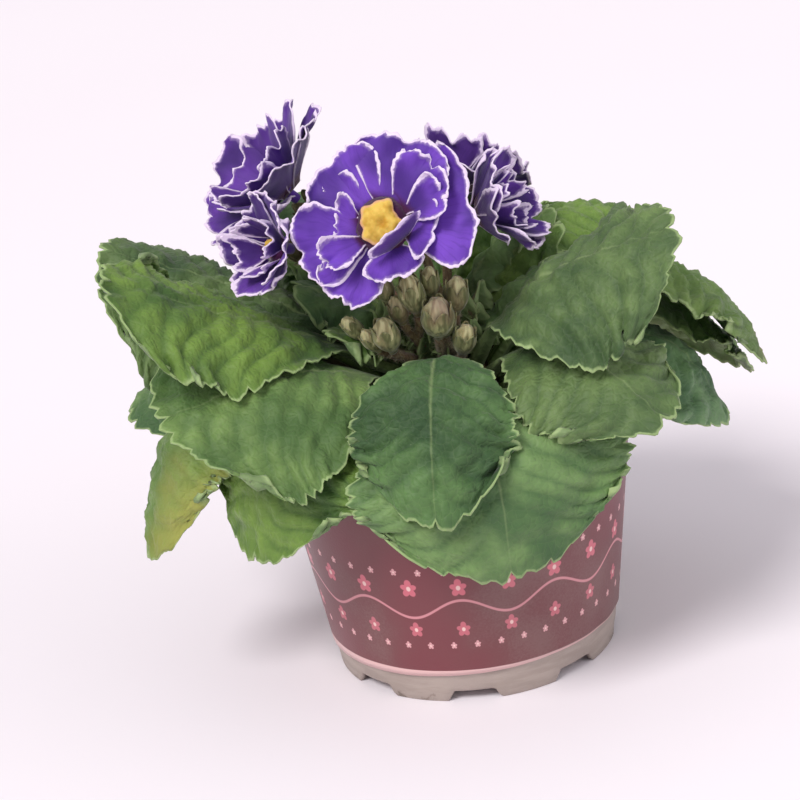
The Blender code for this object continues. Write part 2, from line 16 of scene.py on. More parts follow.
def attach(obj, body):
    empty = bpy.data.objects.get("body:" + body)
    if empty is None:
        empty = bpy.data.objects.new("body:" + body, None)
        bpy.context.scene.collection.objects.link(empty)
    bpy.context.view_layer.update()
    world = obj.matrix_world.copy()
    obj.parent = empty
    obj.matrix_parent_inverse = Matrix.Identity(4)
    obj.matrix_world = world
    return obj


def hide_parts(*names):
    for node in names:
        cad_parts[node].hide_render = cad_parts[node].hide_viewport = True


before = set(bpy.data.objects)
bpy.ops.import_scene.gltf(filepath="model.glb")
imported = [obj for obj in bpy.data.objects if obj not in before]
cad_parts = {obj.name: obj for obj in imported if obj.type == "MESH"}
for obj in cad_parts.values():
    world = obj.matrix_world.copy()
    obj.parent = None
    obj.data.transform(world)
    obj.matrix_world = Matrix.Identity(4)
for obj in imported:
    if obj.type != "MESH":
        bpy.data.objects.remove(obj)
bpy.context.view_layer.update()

MM = 0.001

# Pot and sleeve
POT_HEIGHT = 82 * MM
RIM_RADIUS = 51.5 * MM
FOOT_RADIUS = 39 * MM
COLLAR_HEIGHT = 10 * MM
COLLAR_STEP = 2.2 * MM
POT_WALL = 1.3 * MM
FLOOR_RISE = 4.5 * MM
ARCH_COUNT = 8
ARCH_WIDTH = 15 * MM
ARCH_HEIGHT = 3 * MM
ARCH_SLOPE = 2.2 * MM
FIRST_ARCH = radians(-94)
DRAIN_RADIUS = 3 * MM
DRAIN_CIRCLE = 27 * MM
SLEEVE_BOTTOM = 9 * MM
SLEEVE_TOP = 68 * MM
SLEEVE_GAP = 0.35 * MM
SLEEVE_LAP = 0.045  # share of the way round
SLEEVE_TILT = 1.2 * MM
LAP_RISE = 0.35 * MM
VINE_HEIGHT = 30 * MM
VINE_LENGTH = 26 * MM
VINE_SWING = 2.6 * MM

# Compost and crown
SOIL_TOP = 73 * MM
SOIL_EDGE = 70 * MM
SOIL_GAP = 0.6 * MM
SURFACE_SHARE = 0.8  # of the compost's rows, the rest lie on its plug
CROWN_RADIUS = 14 * MM
CROWN_CENTRE = Vector((0, 0, 73 * MM))
CROWN_DEPTH = 24 * MM
SEAT_GAP = 0.45 * MM

# Leaves
STALK_THICKNESS = 3.4 * MM
STALK_HALF_WIDTH = 2.5 * MM
STALK_SHARE = 0.2
WIDEST = 0.62
TIP_NARROWING = 0.44
TIP_ROUNDING = 0.24
WAVES = 2.6
BLADE_THICKNESS = 0.5 * MM
SCALLOP_DEPTH = 2.7 * MM
SCALLOP_PITCH = 5.6 * MM
TOOTH_DEPTH = 0.7 * MM
TOOTH_PITCH = 2.3 * MM
VEIN_PITCH = 7.2 * MM
VEIN_SLANT = 0.62
VEIN_BEND = 5.0  # per metre of distance from the midrib
CUSHION_PITCH = 3.6 * MM
QUILT_DEPTH = 0.85 * MM
CUSHION_DEPTH = 0.85 * MM
MIDRIB_DEPTH = 0.7 * MM
MIDRIB_WIDTH = 1.5 * MM
KEEL_WIDTH = 2.2 * MM
SWELL_DEPTH = 1.6 * MM
PUCKER_DEPTH = 1.2 * MM
FRILL_DEPTH = 1.0 * MM
CROWDING = 0.46 * pi  # how close a blade's columns lie at its margin

# Blooms
PETAL_THICKNESS = 0.35 * MM
PETAL_FOOT = 0.3  # a petal's width at its foot as a share of its full width
PETAL_WIDEST = 0.72
PETAL_ROUNDING = 0.34
NOTCH_DEPTH = 0.09  # a share of the petal's length
FRINGE_DEPTH = 0.055  # the same
CURL_DEPTH = 0.95 * MM
PETAL_WAVE = 0.7 * MM
PETAL_GROOVE = 0.35 * MM
BUTTON_MARGIN = 1.8 * MM
EYE_GAP = 0.5 * MM
EYE_HEIGHT = 1.4 * MM
CALYX_LENGTH = 12 * MM
CALYX_RADIUS = 3.9 * MM
CALYX_FOOT = 1.25 * MM
STEM_RADIUS = 1.2 * MM
TUBE_LENGTH = 4 * MM
BUTTON_DEPTH = 2 * MM
FURLED_FROM = 0.35  # share of a bud's length where its petals start
HAIR_RADIUS = 0.06 * MM
HAIR_TIP = 0.01 * MM

UV_UNIT = 10.0  # of the maps on leaves, petals and sleeve, per metre
WELD = 0.002 * MM
POT_WELD = 0.01 * MM

# Thickness of thin sheets
INNER_LEAF_FOOT = 1.6 * MM
BRACT_FOOT = 1.2 * MM
EYE_SHEET = 0.4 * MM
CALYX_SHEET = 0.3 * MM
FILM = 0.25 * MM

# Rows and columns of the sheets' faces, and counts of small things
LEAF_GRID = (104, 58)
INNER_LEAF_GRID = (52, 30)
BRACT_GRID = (18, 10)
PETAL_GRID = (24, 34)
EYE_GRID = (12, 60)
CALYX_GRID = (22, 60)
SLEEVE_GRID = (300, 40)
COMPOST_GRID = (70, 180)
CROWN_GRID = (40, 64)
POT_SIDES = 240
DRAIN_SIDES = 24
STALK_SIDES = 14
STALK_STEPS = 26
BUD_STALK_STEPS = 24
BUD_SIDES = 40
BUD_STEPS = 14
CUP_SIDES = 30
BRACTS = 16
CRUMBS = 650
HAIRS_ON_STALK = 260
HAIRS_ON_BUD = 180

# Studio
FLOOR_HALF = 4
LENS = 112
CAMERA_PLACE = (0, -0.636, 0.317)
CAMERA_AIM = Vector((-0.0132, 0, 0.0738))
CAMERA_TURN = radians(-7.5)
LIGHT_AIM = Vector((0, 0, 0.09))
DAYLIGHT = 0.56


class Leaf(NamedTuple):
    """A leaf's pose and size, in degrees and millimetres. Azimuth 0 is +X, and -90 is the front."""

    azimuth: float
    seat: float  # height of its foot on the crown's dome
    rise: float  # climb of the midrib at the foot
    fall: float  # climb of the midrib at the tip
    length: float
    half_width: float
    fold: float  # how far each half hangs beside the midrib
    curl: float  # how much more it hangs at the edge
    roll: float  # turn of the blade about the midrib, towards its left
    sway: float  # sideways turn of the tip, towards its left
    ruffle: float
    finish: str
    crinkle: float  # depth of the relief between its veins


LEAVES = {
    "leaf_low_front": Leaf(-82, 13, 35, -97, 82, 36, 1, 11, 0, 5, 1.4, "cool", 0.8),
    "leaf_low_front_left": Leaf(-139, 13, 36, -84, 81, 29, 4, 11, 6, -10, 1.4, "fresh", 0.9),
    "leaf_low_left": Leaf(-169, 11, 36, -81, 104, 18, 11, 20, 7, 8, 1.6, "yellowing", 0.9),
    "leaf_low_right": Leaf(-5, 11, 41, -68, 79, 28, 9, 13, -3, -3, 1.6, "bluish", 1.0),
    "leaf_low_back_right": Leaf(20, 13, 38, -64, 96, 25, 8, 15, 8, 4, 1.6, "soft", 1.0),
    "leaf_low_back": Leaf(70, 12, 36, -78, 84, 26, 5, 9, 12, -3, 1.6, "cool", 1.0),
    "leaf_low_back_left": Leaf(122, 15, 34, -76, 86, 27, 6, 12, 8, 4, 1.6, "fresh", 1.0),
    "leaf_low_far_left": Leaf(168, 23, 34, -42, 86, 27, 13, 18, 28, 1, 1.6, "cool", 1.0),
    "leaf_mid_front_left": Leaf(-136, 30, 33, -11, 78, 33, 6, 12, 31, -24, 1.8, "soft", 1.0),
    "leaf_mid_front": Leaf(-93, 40, 43, -72, 81, 21, 8, 13, 4, -7, 1.8, "deep", 1.6),
    "leaf_mid_front_right": Leaf(-50, 31, 40, -37, 73, 23, 13, 10, -14, 6, 1.8, "dusky", 0.9),
    "leaf_mid_right": Leaf(4, 36, 52, -70, 104, 20, 10, 11, 3, 5, 1.8, "yellowing", 1.1),
    "leaf_mid_back_right": Leaf(50, 35, 47, -48, 86, 21, 13, 20, 8, 2, 1.8, "soft", 1.1),
    "leaf_mid_back": Leaf(92, 38, 50, -47, 73, 22, 6, 14, 8, 0, 1.8, "fresh", 1.1),
    "leaf_mid_back_left": Leaf(129, 38, 50, -47, 88, 22, 8, 16, 8, 0, 1.8, "soft", 1.1),
    "leaf_mid_left": Leaf(171, 40, 38, 17, 88, 33, 19, 20, 24, 1, 1.8, "dusky", 1.2),
    "leaf_top_left": Leaf(-157, 48, 32, 28, 91, 25, 6, 13, 26, 0, 2.0, "fresh", 1.2),
    "leaf_top_right": Leaf(-50, 47, 54, 13, 77, 29, 6, 22, -30, 40, 2.0, "dusky", 1.2),
    "leaf_top_back_right": Leaf(34, 59, 59, -26, 80, 18, 7, 14, -6, 8, 1.8, "fresh", 1.1),
    "leaf_top_back": Leaf(81, 58, 64, -15, 78, 19, 10, 17, 4, 5, 1.8, "soft", 1.1),
    "leaf_top_back_left": Leaf(132, 60, 60, -10, 84, 23, 8, 18, 10, 0, 1.8, "cool", 1.1),
}


# Young leaves round the stalks, which no solid stands for
INNER_LEAVES = (
    Leaf(64, 62, 80, 18, 50, 12, 12, 30, 6, 0, 2.2, "fresh", 1.3),
    Leaf(30, 58, 76, 12, 48, 12, 10, 30, -8, 6, 2.2, "soft", 1.3),
    Leaf(2, 60, 78, 22, 44, 11, 14, 26, -10, 0, 2.2, "fresh", 1.3),
    Leaf(-24, 56, 70, 30, 36, 10, 12, 24, -8, 4, 2.0, "cool", 1.3),
    Leaf(98, 64, 82, 10, 46, 12, 12, 28, 8, -4, 2.2, "cool", 1.3),
    Leaf(130, 58, 74, 14, 44, 12, 10, 30, 8, 0, 2.2, "fresh", 1.3),
    Leaf(160, 58, 70, 16, 46, 12, 12, 26, 10, 0, 2.2, "soft", 1.3),
    Leaf(-172, 58, 66, 20, 40, 11, 12, 26, 10, -4, 2.0, "cool", 1.3),
    Leaf(-148, 52, 60, 12, 32, 8, 12, 24, 10, 0, 1.8, "fresh", 1.2),
    Leaf(16, 66, 84, 40, 40, 9, 16, 30, 0, 0, 2.0, "cool", 1.3),
)


def bracts():
    """Narrow young scales that stand among the buds, set round the front of the crown."""
    scales = []
    for turn in range(BRACTS):
        way = sin(2.4 * turn)
        azimuth, seat = -160 + 8.5 * turn, 50 + 7 * (turn % 3)
        length, half_width = 19 + 5 * way, 3.6 + 0.8 * cos(1.9 * turn)
        finish = "bract" if turn % 3 else "fresh"
        pose = (azimuth, seat, 74 + 8 * way, 58, length, half_width, 20, 40, 12 * way, 14 * way)
        scales.append(Leaf(*pose, 0.8, finish, 0.6))
    return scales


class Petal(NamedTuple):
    """A petal's pose and size. Angle 0 is the bloom's right seen from its front, and 90 its top."""

    angle: float
    root: float  # how far its foot is from the bloom's middle
    height: float  # how far its foot is in front of the bloom's plane
    rise: float  # its lean to the front at the foot
    fall: float  # the same at the tip
    length: float
    half_width: float
    cup: float  # how far its edges bend to the front
    twist: float


class Bloom(NamedTuple):
    """A bloom: its eye's place in millimetres, the way it faces, its foot on the crown and its petals."""

    place: tuple
    azimuth: float
    elevation: float
    foot_azimuth: float
    foot_seat: float
    eye: float  # radius of its eye
    petals: tuple


MAIN_PETALS = (
    Petal(69, 4, -1.4, 20, 4, 20, 13, 2.5, -8),
    Petal(127, 4, -2.4, 14, -4, 19, 11, 2, -8),
    Petal(156, 4, -2.6, 8, -10, 15, 10, 2, -6),
    Petal(-164, 4, -1.5, 20, 2, 20, 11, 3, -8),
    Petal(-124, 4, -2.0, 16, -2, 19.5, 8.5, 2, -6),
    Petal(-78, 5, -1.4, 34, 16, 12, 8, 3, -8),
    Petal(8, 4, -1.8, 22, 8, 21, 17, 4, -10),
    Petal(42, 5.5, -0.9, 32, 12, 16, 9, 4, -10),
    Petal(18, 6.4, -0.4, 42, 24, 13.5, 6, 4, -8),
    Petal(-18, 6.4, -0.7, 40, 30, 10, 8, 4, -10),
    Petal(-53, 6.2, -0.6, 86, 112, 9.5, 8.5, 2, 0),
    Petal(-146, 6.4, -0.4, 42, 20, 14, 4.5, 5, -8),
    Petal(172, 6.2, -0.9, 34, 16, 7, 7, 3, -8),
)


def whorls(*rings):
    """Petals in rings of (count, first angle, root, height, rise, fall, length, half width, cup, twist)."""
    petals = []
    for count, first, root, height, rise, fall, length, half, cup, twist in rings:
        for turn in range(count):
            uneven = sin(2.3 * turn + first)
            angle = first + 360 * turn / count + 5 * uneven
            lean = (rise + 6 * uneven, fall + 9 * cos(1.7 * turn + first))
            size = (length * (1 + 0.06 * uneven), half, cup, twist)
            petals.append(Petal(angle, root, height - 0.3 * (turn % 2), *lean, *size))
    return tuple(petals)


BLOOMS = {
    "bloom_main": Bloom((-11, -29, 133), -96, 30, -95, 72, 5.6, MAIN_PETALS),
    "bloom_left": Bloom(
        (-38, 13, 134), -166, 44, 165, 74, 4,
        whorls((6, 20, 3, -2, 34, 18, 23, 12, 3, -12), (5, 50, 4.8, -0.6, 60, 44, 15, 9, 4, -10)),
    ),
    "bloom_low": Bloom(
        (-40, -21, 128), -144, 20, -150, 70, 2.4,
        whorls((5, 0, 2.5, -2, 40, 26, 13, 8.5, 4, -12), (4, 30, 3.2, -0.6, 66, 60, 9, 5, 4, -10)),
    ),
    "bloom_back": Bloom(
        (9, 18, 129), 66, 56, 50, 76, 4,
        whorls((6, 0, 3, -2, 20, 2, 18, 11, 3, -12), (5, 30, 4.8, -0.6, 50, 34, 12, 8, 4, -10)),
    ),
    "bloom_right": Bloom(
        (16, -8, 127), -16, 22, -20, 70, 2.4,
        whorls((6, 10, 2.5, -2, 46, 36, 16, 8, 4, -12), (4, 30, 3.2, -0.6, 66, 58, 11, 5, 4, -10)),
    ),
}


class Bud(NamedTuple):
    """A bud: its tip's place in millimetres, the lean of its body, its foot on the crown and its size."""

    place: tuple
    azimuth: float
    elevation: float
    foot_azimuth: float
    foot_seat: float
    length: float
    radius: float


BUDS = {
    "bud_1": Bud((-15, -30, 108), -110, 60, -116, 56, 13, 3.6),
    "bud_2": Bud((0, -31, 112), -86, 60, -90, 56, 15, 4.4),
    "bud_3": Bud((6, -24, 115), -70, 70, -52, 66, 12, 3.4),
    "bud_4": Bud((-7, -27, 118), -110, 66, -142, 58, 14, 3.6),
    "bud_5": Bud((7, -29, 103), -74, 54, -68, 57, 12, 3.2),
}


# Smaller buds between them, which no solid stands for
SMALL_BUDS = (
    Bud((-11, -25, 112), -112, 62, -112, 62, 10, 2.7),
    Bud((-20, -26, 104), -132, 52, -128, 58, 9, 2.4),
    Bud((-1, -22, 118), -84, 74, -88, 66, 10, 2.7),
    Bud((-14, -22, 118), -124, 70, -120, 66, 10, 2.6),
    Bud((3, -27, 107), -66, 60, -66, 62, 9, 2.5),
    Bud((-25, -20, 106), -150, 50, -148, 56, 9, 2.4),
)


class Value:
    """An output in a material's nodes. A sum on it adds a Math node."""

    def __init__(self, finish, socket):
        self.finish = finish
        self.socket = socket

    def math(self, operation, *others):
        return self.finish.node("ShaderNodeMath", {"operation": operation}, self, *others)

    def __add__(self, other):
        return self.math("ADD", other)

    def __sub__(self, other):
        return self.math("SUBTRACT", other)

    def __rsub__(self, other):
        return self.finish.node("ShaderNodeMath", {"operation": "SUBTRACT"}, other, self)

    def __mul__(self, other):
        return self.math("MULTIPLY", other)

    def __truediv__(self, other):
        return self.math("DIVIDE", other)

    __radd__ = __add__
    __rmul__ = __mul__

    def step(self, start, end):
        """0 at start and 1 at end, with a soft passage between; start may be the higher one."""
        return self.finish.node("ShaderNodeMapRange", {"interpolation_type": "SMOOTHSTEP"}, self, start, end)


def srgb(red, green, blue):
    """A colour given as 0 to 255, as the shader wants it."""
    parts = [part / 255 for part in (red, green, blue)]
    return (*[part / 12.92 if part < 0.04045 else ((part + 0.055) / 1.055) ** 2.4 for part in parts], 1)


class Finish:
    """A Principled material with the nodes behind its sockets."""

    def __init__(self, name, **constants):
        self.material = bpy.data.materials.new(name)
        self.material.use_nodes = True
        self.tree = self.material.node_tree
        self.shader = self.tree.nodes["Principled BSDF"]
        for socket, value in constants.items():
            self.shader.inputs[socket.replace("_", " ")].default_value = value

    def node(self, kind, settings=None, *values, out=0, **named):
        """A node of this kind: its settings are set first, then its sockets by place or by name."""
        made = self.tree.nodes.new(kind)
        for setting, value in (settings or {}).items():
            setattr(made, setting, value)
        for place, value in (*enumerate(values), *named.items()):
            socket = made.inputs[place.replace("_", " ") if isinstance(place, str) else place]
            if isinstance(value, Value):
                self.tree.links.new(value.socket, socket)
            elif value is not None:
                socket.default_value = value
        return Value(self, made.outputs[out])

    def blend(self, share, first, second):
        """The first colour at 0 and the second at 1; each is a value or red, green and blue from 0 to 255."""
        first, second = [srgb(*tint) if isinstance(tint, tuple) else tint for tint in (first, second)]
        settings = {"data_type": "RGBA"}
        return self.node("ShaderNodeMix", settings, share, None, None, None, None, None, first, second, out=2)

    def coated(self, base, *coats):
        """A base colour with coats of (share, colour) laid over it in turn."""
        for share, colour in coats:
            base = self.blend(share, base, colour)
        return base

    def attribute(self, name):
        return self.node("ShaderNodeAttribute", {"attribute_name": name}, out="Fac")

    def place(self):
        return self.node("ShaderNodeTexCoord", out="Object")

    def map(self, name):
        return self.node("ShaderNodeUVMap", {"uv_map": name})

    def parts(self, vector):
        split = self.node("ShaderNodeSeparateXYZ", None, vector)
        return [Value(self, output) for output in split.socket.node.outputs]

    def joined(self, x, y):
        return self.node("ShaderNodeCombineXYZ", None, x, y)

    def noise(self, vector, scale, detail=2.0, roughness=0.5):
        named = {"Scale": scale, "Detail": detail, "Roughness": roughness}
        return self.node("ShaderNodeTexNoise", None, vector, **named)

    def grain(self, *settings):
        """Noise through the whole piece, of this scale, detail and roughness."""
        return self.noise(self.place(), *settings)

    def cells(self, vector, scale, feature="DISTANCE_TO_EDGE", flat=False):
        settings = {"feature": feature, "voronoi_dimensions": "2D" if flat else "3D"}
        return self.node("ShaderNodeTexVoronoi", settings, vector, Scale=scale)

    def bump(self, height, depth, strength=1.0):
        """Relief of this depth in metres."""
        return self.node("ShaderNodeBump", None, Strength=strength, Distance=depth, Height=height)

    def feed(self, colour, **sockets):
        for name, value in {"Base Color": colour, **sockets}.items():
            self.tree.links.new(value.socket, self.shader.inputs[name])
        return self


def blade_finish(name, fresh, deep, vein, rim, tip=0.0, underside=False):
    """Leaf skin: a mottled green with painted shade deepening its creases, a faint midrib and a thin pale
    rim.
    """
    glow = {"Subsurface_Weight": 0.1, "Subsurface_Scale": 0.0015, "Subsurface_Radius": (0.5, 1.0, 0.25)}
    finish = Finish(name, Sheen_Weight=0.1, Sheen_Roughness=0.5, Specular_IOR_Level=0.36, **glow)
    sheet = finish.map("blade")
    along, across, _ = finish.parts(sheet)
    reach = across.math("ABSOLUTE")
    margin = finish.attribute("margin")
    crease = finish.attribute("crease")
    midrib = (reach / UV_UNIT + along * (0.012 / UV_UNIT)).step(1.35 * MM, 0.4 * MM)
    warped = finish.blend(0.02, sheet, finish.node("ShaderNodeTexNoise", None, sheet, Scale=9, out=1))
    net = finish.cells(warped, 46, flat=True)
    fine_net = finish.cells(finish.place(), 820)
    mottle = finish.grain(42, 3, 0.6)
    patches = finish.grain(190, 3, 0.65)
    colour = finish.coated(
        fresh,
        (mottle.step(0.32, 0.68), deep),
        (patches.step(0.42, 0.7) * 0.35, deep),
        # painted shade: the creases darkened towards the deep green
        (crease.step(0.25, 1.0) * 0.9, deep),
        (net.step(0.05, 0.0) * 0.07, vein),
        (crease.step(0.82, 1.0) * 0.3, vein),
        (midrib * 0.42, vein),
    )
    if tip:
        yellow = (168, 164, 78)
        worn = (mottle - 0.5) * 0.9 + along / UV_UNIT * 7.0 + across * 2.0
        colour = finish.blend(worn.step(0.55, 1.0) * tip, colour, yellow)
    rim_wander = (patches - 0.5) * (1.2 * MM)
    colour = finish.blend((margin + rim_wander).step(0.85 * MM, 0.25 * MM) * 0.7, colour, rim)
    height = net.step(0.0, 0.3) * 0.28 + fine_net.step(0.0, 0.4) * 0.12 + patches * 0.7
    if underside:
        height = 0.0 - height
    roughness = 0.5 + mottle * 0.2
    return finish.feed(colour, Roughness=roughness, Normal=finish.bump(height, 0.4 * MM, 0.9))


def petal_finish(name, light, violet, throat):
    """Petal skin: a maroon throat, violet with darker veins, and an uneven white edge."""
    glow = {"Subsurface_Weight": 0.1, "Subsurface_Scale": 0.0015, "Subsurface_Radius": (0.7, 0.4, 1.0)}
    finish = Finish(name, Sheen_Weight=0.25, Sheen_Roughness=0.4, Specular_IOR_Level=0.3, **glow)
    sheet = finish.map("petal")
    along, across, _ = finish.parts(sheet)
    spread = across / (along + 0.02)
    streaks = finish.noise(finish.joined(spread * 3.2, along * 2.0), 5, 3, 0.6)
    cloud = finish.grain(75, 2)
    share = finish.attribute("share")
    margin = finish.attribute("margin")
    edge_wander = finish.grain(650, 2)
    colour = finish.coated(
        violet,
        (cloud.step(0.3, 0.7), light),
        (streaks.step(0.5, 0.7) * 0.35, violet),
        (share.step(0.24, 0.08), throat),
    )
    lilac = finish.blend(0.45, violet, (222, 196, 240))
    edge = margin + (edge_wander - 0.5) * (1.5 * MM) + (cloud - 0.5) * (0.9 * MM)
    colour = finish.coated(
        colour,
        (edge.step(1.7 * MM, 0.9 * MM) * 0.6, lilac),
        (edge.step(1.0 * MM, 0.6 * MM), (234, 216, 244)),
    )
    height = streaks * 0.6 + finish.grain(1500, 2) * 0.25
    roughness = 0.55 + cloud * 0.15
    return finish.feed(colour, Roughness=roughness, Normal=finish.bump(height, 0.25 * MM, 0.7))


def eye_finish():
    """Mealy ochre yellow with a peach-coloured rim."""
    finish = Finish("eye_yellow", Subsurface_Weight=0.1, Subsurface_Scale=0.001)
    share = finish.attribute("share")
    grain = finish.grain(520, 3)
    stain = finish.grain(260, 2)
    colour = finish.coated(
        (226, 190, 84),
        (grain.step(0.35, 0.7), (206, 164, 56)),
        (stain.step(0.5, 0.72) * 0.6, (184, 140, 40)),
        (share.step(0.3, 0.05) * 0.5, (176, 122, 36)),
        ((share + (grain - 0.5) * 0.2).step(0.82, 1.0) * 0.8, (226, 172, 140)),
    )
    return finish.feed(colour, Roughness=0.6 + grain * 0.2, Normal=finish.bump(grain, 0.3 * MM))


def stem_finish(name, pale, dark, blush):
    """Downy stalk skin, ribbed along its length and blushed in patches."""
    glow = {"Subsurface_Weight": 0.08, "Subsurface_Scale": 0.001}
    finish = Finish(name, Sheen_Weight=0.3, Sheen_Roughness=0.4, **glow)
    ribs = finish.noise(finish.node("ShaderNodeMapping", None, finish.place(), Scale=(1, 1, 0.18)), 900, 2)
    patches = finish.grain(110, 2)
    ridge = finish.attribute("share")
    colour = finish.coated(
        pale,
        (ribs.step(0.35, 0.65), dark),
        (patches.step(0.45, 0.7) * 0.6, blush),
        (ridge.step(0.5, 1.0) * 0.6, dark),
    )
    return finish.feed(colour, Roughness=0.6 + ribs * 0.2, Normal=finish.bump(ribs, 0.2 * MM))


def compost_finish():
    finish = Finish("compost_crumb")
    crumbs = finish.cells(finish.place(), 420, "F1")
    clods = finish.grain(260, 4, 0.7)
    colour = finish.coated(
        (44, 33, 26),
        (clods.step(0.35, 0.7), (88, 66, 48)),
        (crumbs.step(0.35, 0.1) * 0.5, (120, 96, 72)),
    )
    height = clods + crumbs * 0.6
    return finish.feed(colour, Roughness=0.85 + clods * 0.12, Normal=finish.bump(height, 0.8 * MM))


def crown_finish():
    finish = Finish("crown_skin")
    scales = finish.noise(finish.node("ShaderNodeMapping", None, finish.place(), Scale=(1, 1, 0.3)), 400, 3)
    colour = finish.blend(scales.step(0.35, 0.65), (128, 112, 74), (84, 62, 44))
    return finish.feed(colour, Roughness=0.7 + scales * 0.15, Normal=finish.bump(scales, 0.5 * MM))


def plastic_finish():
    """Pale moulded plastic, a little scuffed, with dust and splashed soil near its foot."""
    finish = Finish("pot_plastic", Coat_Roughness=0.3)
    grain = finish.grain(1400, 2)
    flat_place = finish.node("ShaderNodeMapping", None, finish.place(), Scale=(1, 1, 6))
    scuffs = finish.noise(flat_place, 60, 4, 0.65)
    _, _, height = finish.parts(finish.place())
    soil = finish.grain(210, 4, 0.7)
    colour = finish.blend(scuffs.step(0.4, 0.65) * 0.5, (172, 158, 150), (148, 134, 126))
    dirt = (soil + (2 * MM - height) * 40).step(0.56, 0.72)
    colour = finish.blend(dirt * 0.7, colour, (92, 78, 64))
    relief = finish.bump(grain + scuffs, 0.08 * MM)
    return finish.feed(colour, Roughness=0.42 + scuffs * 0.2, Normal=relief)


def print_finish():
    """Wine-red film with a vine, blossoms and dots in pink, and a pale line round its foot."""
    finish = Finish("sleeve_print", Coat_Weight=0.25, Coat_Roughness=0.25)
    around, up, _ = finish.parts(finish.map("print"))
    along = around / UV_UNIT
    height = up / UV_UNIT
    wash = finish.grain(26, 3)
    grain = finish.grain(1700, 2)
    colour = finish.blend(wash.step(0.35, 0.7), (116, 50, 58), (112, 68, 68))
    turn = along * (tau / VINE_LENGTH)
    vine = (height - VINE_HEIGHT - turn.math("SINE") * VINE_SWING).math("ABSOLUTE")
    colour = finish.blend(vine.step(0.55 * MM, 0.25 * MM) * 0.8, colour, (224, 150, 158))
    for lift, pitch, size, tint in PRINT_DOTS:
        step = along / pitch
        nearest = (step.math("FRACT") - 0.5) * pitch
        drop = height - VINE_HEIGHT - lift
        distance = (nearest * nearest + drop * drop * 0.6).math("SQRT")
        petals = (nearest.math("ARCTAN2", drop) * 2.5).math("COSINE").math("ABSOLUTE")
        inside = (distance - petals * (0.45 * size)).step(0.72 * size, 0.58 * size)
        colour = finish.blend(inside * 0.85, colour, tint)
        middle = distance.step(0.34 * size, 0.22 * size)
        colour = finish.blend(middle * 0.8, colour, (244, 214, 206))
    foot_line = (height - SLEEVE_BOTTOM).step(1.5 * MM, 1.2 * MM)
    colour = finish.blend(foot_line, colour, (226, 186, 184))
    rubbed = (wash * 0.8 + grain * 0.2).step(0.5, 0.65) * 0.08
    colour = finish.blend(rubbed, colour, (200, 180, 176))
    relief = finish.bump(grain + wash * 3.0, 0.05 * MM)
    return finish.feed(colour, Roughness=0.34 + wash * 0.2, Normal=relief)


# Rows of blossoms and dots on the sleeve: height from the vine, distance apart, radius, colour
PRINT_DOTS = (
    (6.5 * MM, 13 * MM, 2.0 * MM, (218, 112, 128)),
    (-6.5 * MM, 13 * MM, 1.7 * MM, (206, 108, 122)),
    (11.5 * MM, 6.5 * MM, 0.8 * MM, (228, 168, 172)),
    (-11.5 * MM, 6.5 * MM, 0.8 * MM, (228, 168, 172)),
)


def floor_finish():
    finish = Finish("floor", Roughness=0.6)
    tone = finish.grain(3, 2)
    return finish.feed(finish.blend(tone, (248, 240, 249), (251, 245, 253)))


VEIN = (158, 176, 122)
RIM = (164, 186, 128)
LEAF_COLOURS = {
    "fresh": ((112, 142, 60), (56, 88, 36), 0.0),
    "soft": ((124, 152, 84), (70, 100, 50), 0.0),
    "cool": ((116, 146, 88), (62, 94, 54), 0.0),
    "deep": ((88, 122, 68), (44, 74, 40), 0.0),
    "dusky": ((106, 130, 76), (54, 80, 44), 0.0),
    "bluish": ((112, 146, 96), (60, 94, 60), 0.0),
    "yellowing": ((122, 150, 76), (72, 102, 48), 0.75),
    "bract": ((150, 142, 100), (104, 92, 64), 0.0),
}
TOPS = {
    name: blade_finish("leaf_" + name, fresh, deep, VEIN, RIM, tip)
    for name, (fresh, deep, tip) in LEAF_COLOURS.items()
}
UNDERSIDE = blade_finish("leaf_underside", (132, 154, 104), (96, 120, 76), VEIN, RIM, underside=True)
PETALS = petal_finish("petal_violet", (118, 70, 192), (66, 32, 124), (70, 18, 66))
# A darker copy of the petal skin: painted shade for the blooms round the main one
SHADED_PETALS = petal_finish("petal_painted_shade", (100, 54, 160), (60, 28, 108), (78, 18, 62))
PETAL_BACKS = petal_finish("petal_back", (96, 60, 146), (66, 36, 108), (96, 60, 84))
EYE = eye_finish()
STALK_SKIN = stem_finish("stalk_skin", (158, 142, 104), (112, 92, 66), (150, 108, 96))
CALYX_SKIN = stem_finish("calyx_skin", (160, 160, 112), (98, 102, 62), (120, 94, 72))
BUD_PETALS = stem_finish("bud_petals", (206, 200, 152), (156, 146, 104), (132, 100, 100))
HAIR = stem_finish("down", (214, 204, 178), (178, 166, 138), (186, 160, 142))
COMPOST = compost_finish()
CROWN_SKIN = crown_finish()
PLASTIC = plastic_finish()
PRINT = print_finish()
FLOOR = floor_finish()


def add_object(name, data):
    made = bpy.data.objects.new(name, data)
    bpy.context.scene.collection.objects.link(made)
    return made


def add_mesh(name, draft, finishes):
    """An object with a bmesh's faces and these finishes."""
    mesh = bpy.data.meshes.new(name)
    draft.to_mesh(mesh)
    draft.free()
    for finish in finishes:
        mesh.materials.append(finish.material)
    return add_object(name, mesh)


def keep(name, draft, finishes, slot, *nodes):
    """A finished piece from a bmesh: it rides on the root and stands for these nodes."""
    piece = add_mesh(name, draft, finishes)
    piece.data.shade_smooth()
    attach(piece, "root")
    if nodes:
        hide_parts(*nodes)
    return piece


def thicken(piece, thickness, group=None, other_side=0):
    """Gives a sheet its thickness below it; other_side moves that side's faces to a later material."""
    solid = piece.modifiers.new("Thickness", "SOLIDIFY")
    solid.thickness = thickness
    solid.offset = -1.0
    solid.use_quality_normals = True
    solid.material_offset = other_side
    if group:
        solid.vertex_group = group
    return piece


def smooth(share):
    share = min(max(share, 0.0), 1.0)
    return share * share * (3 - 2 * share)


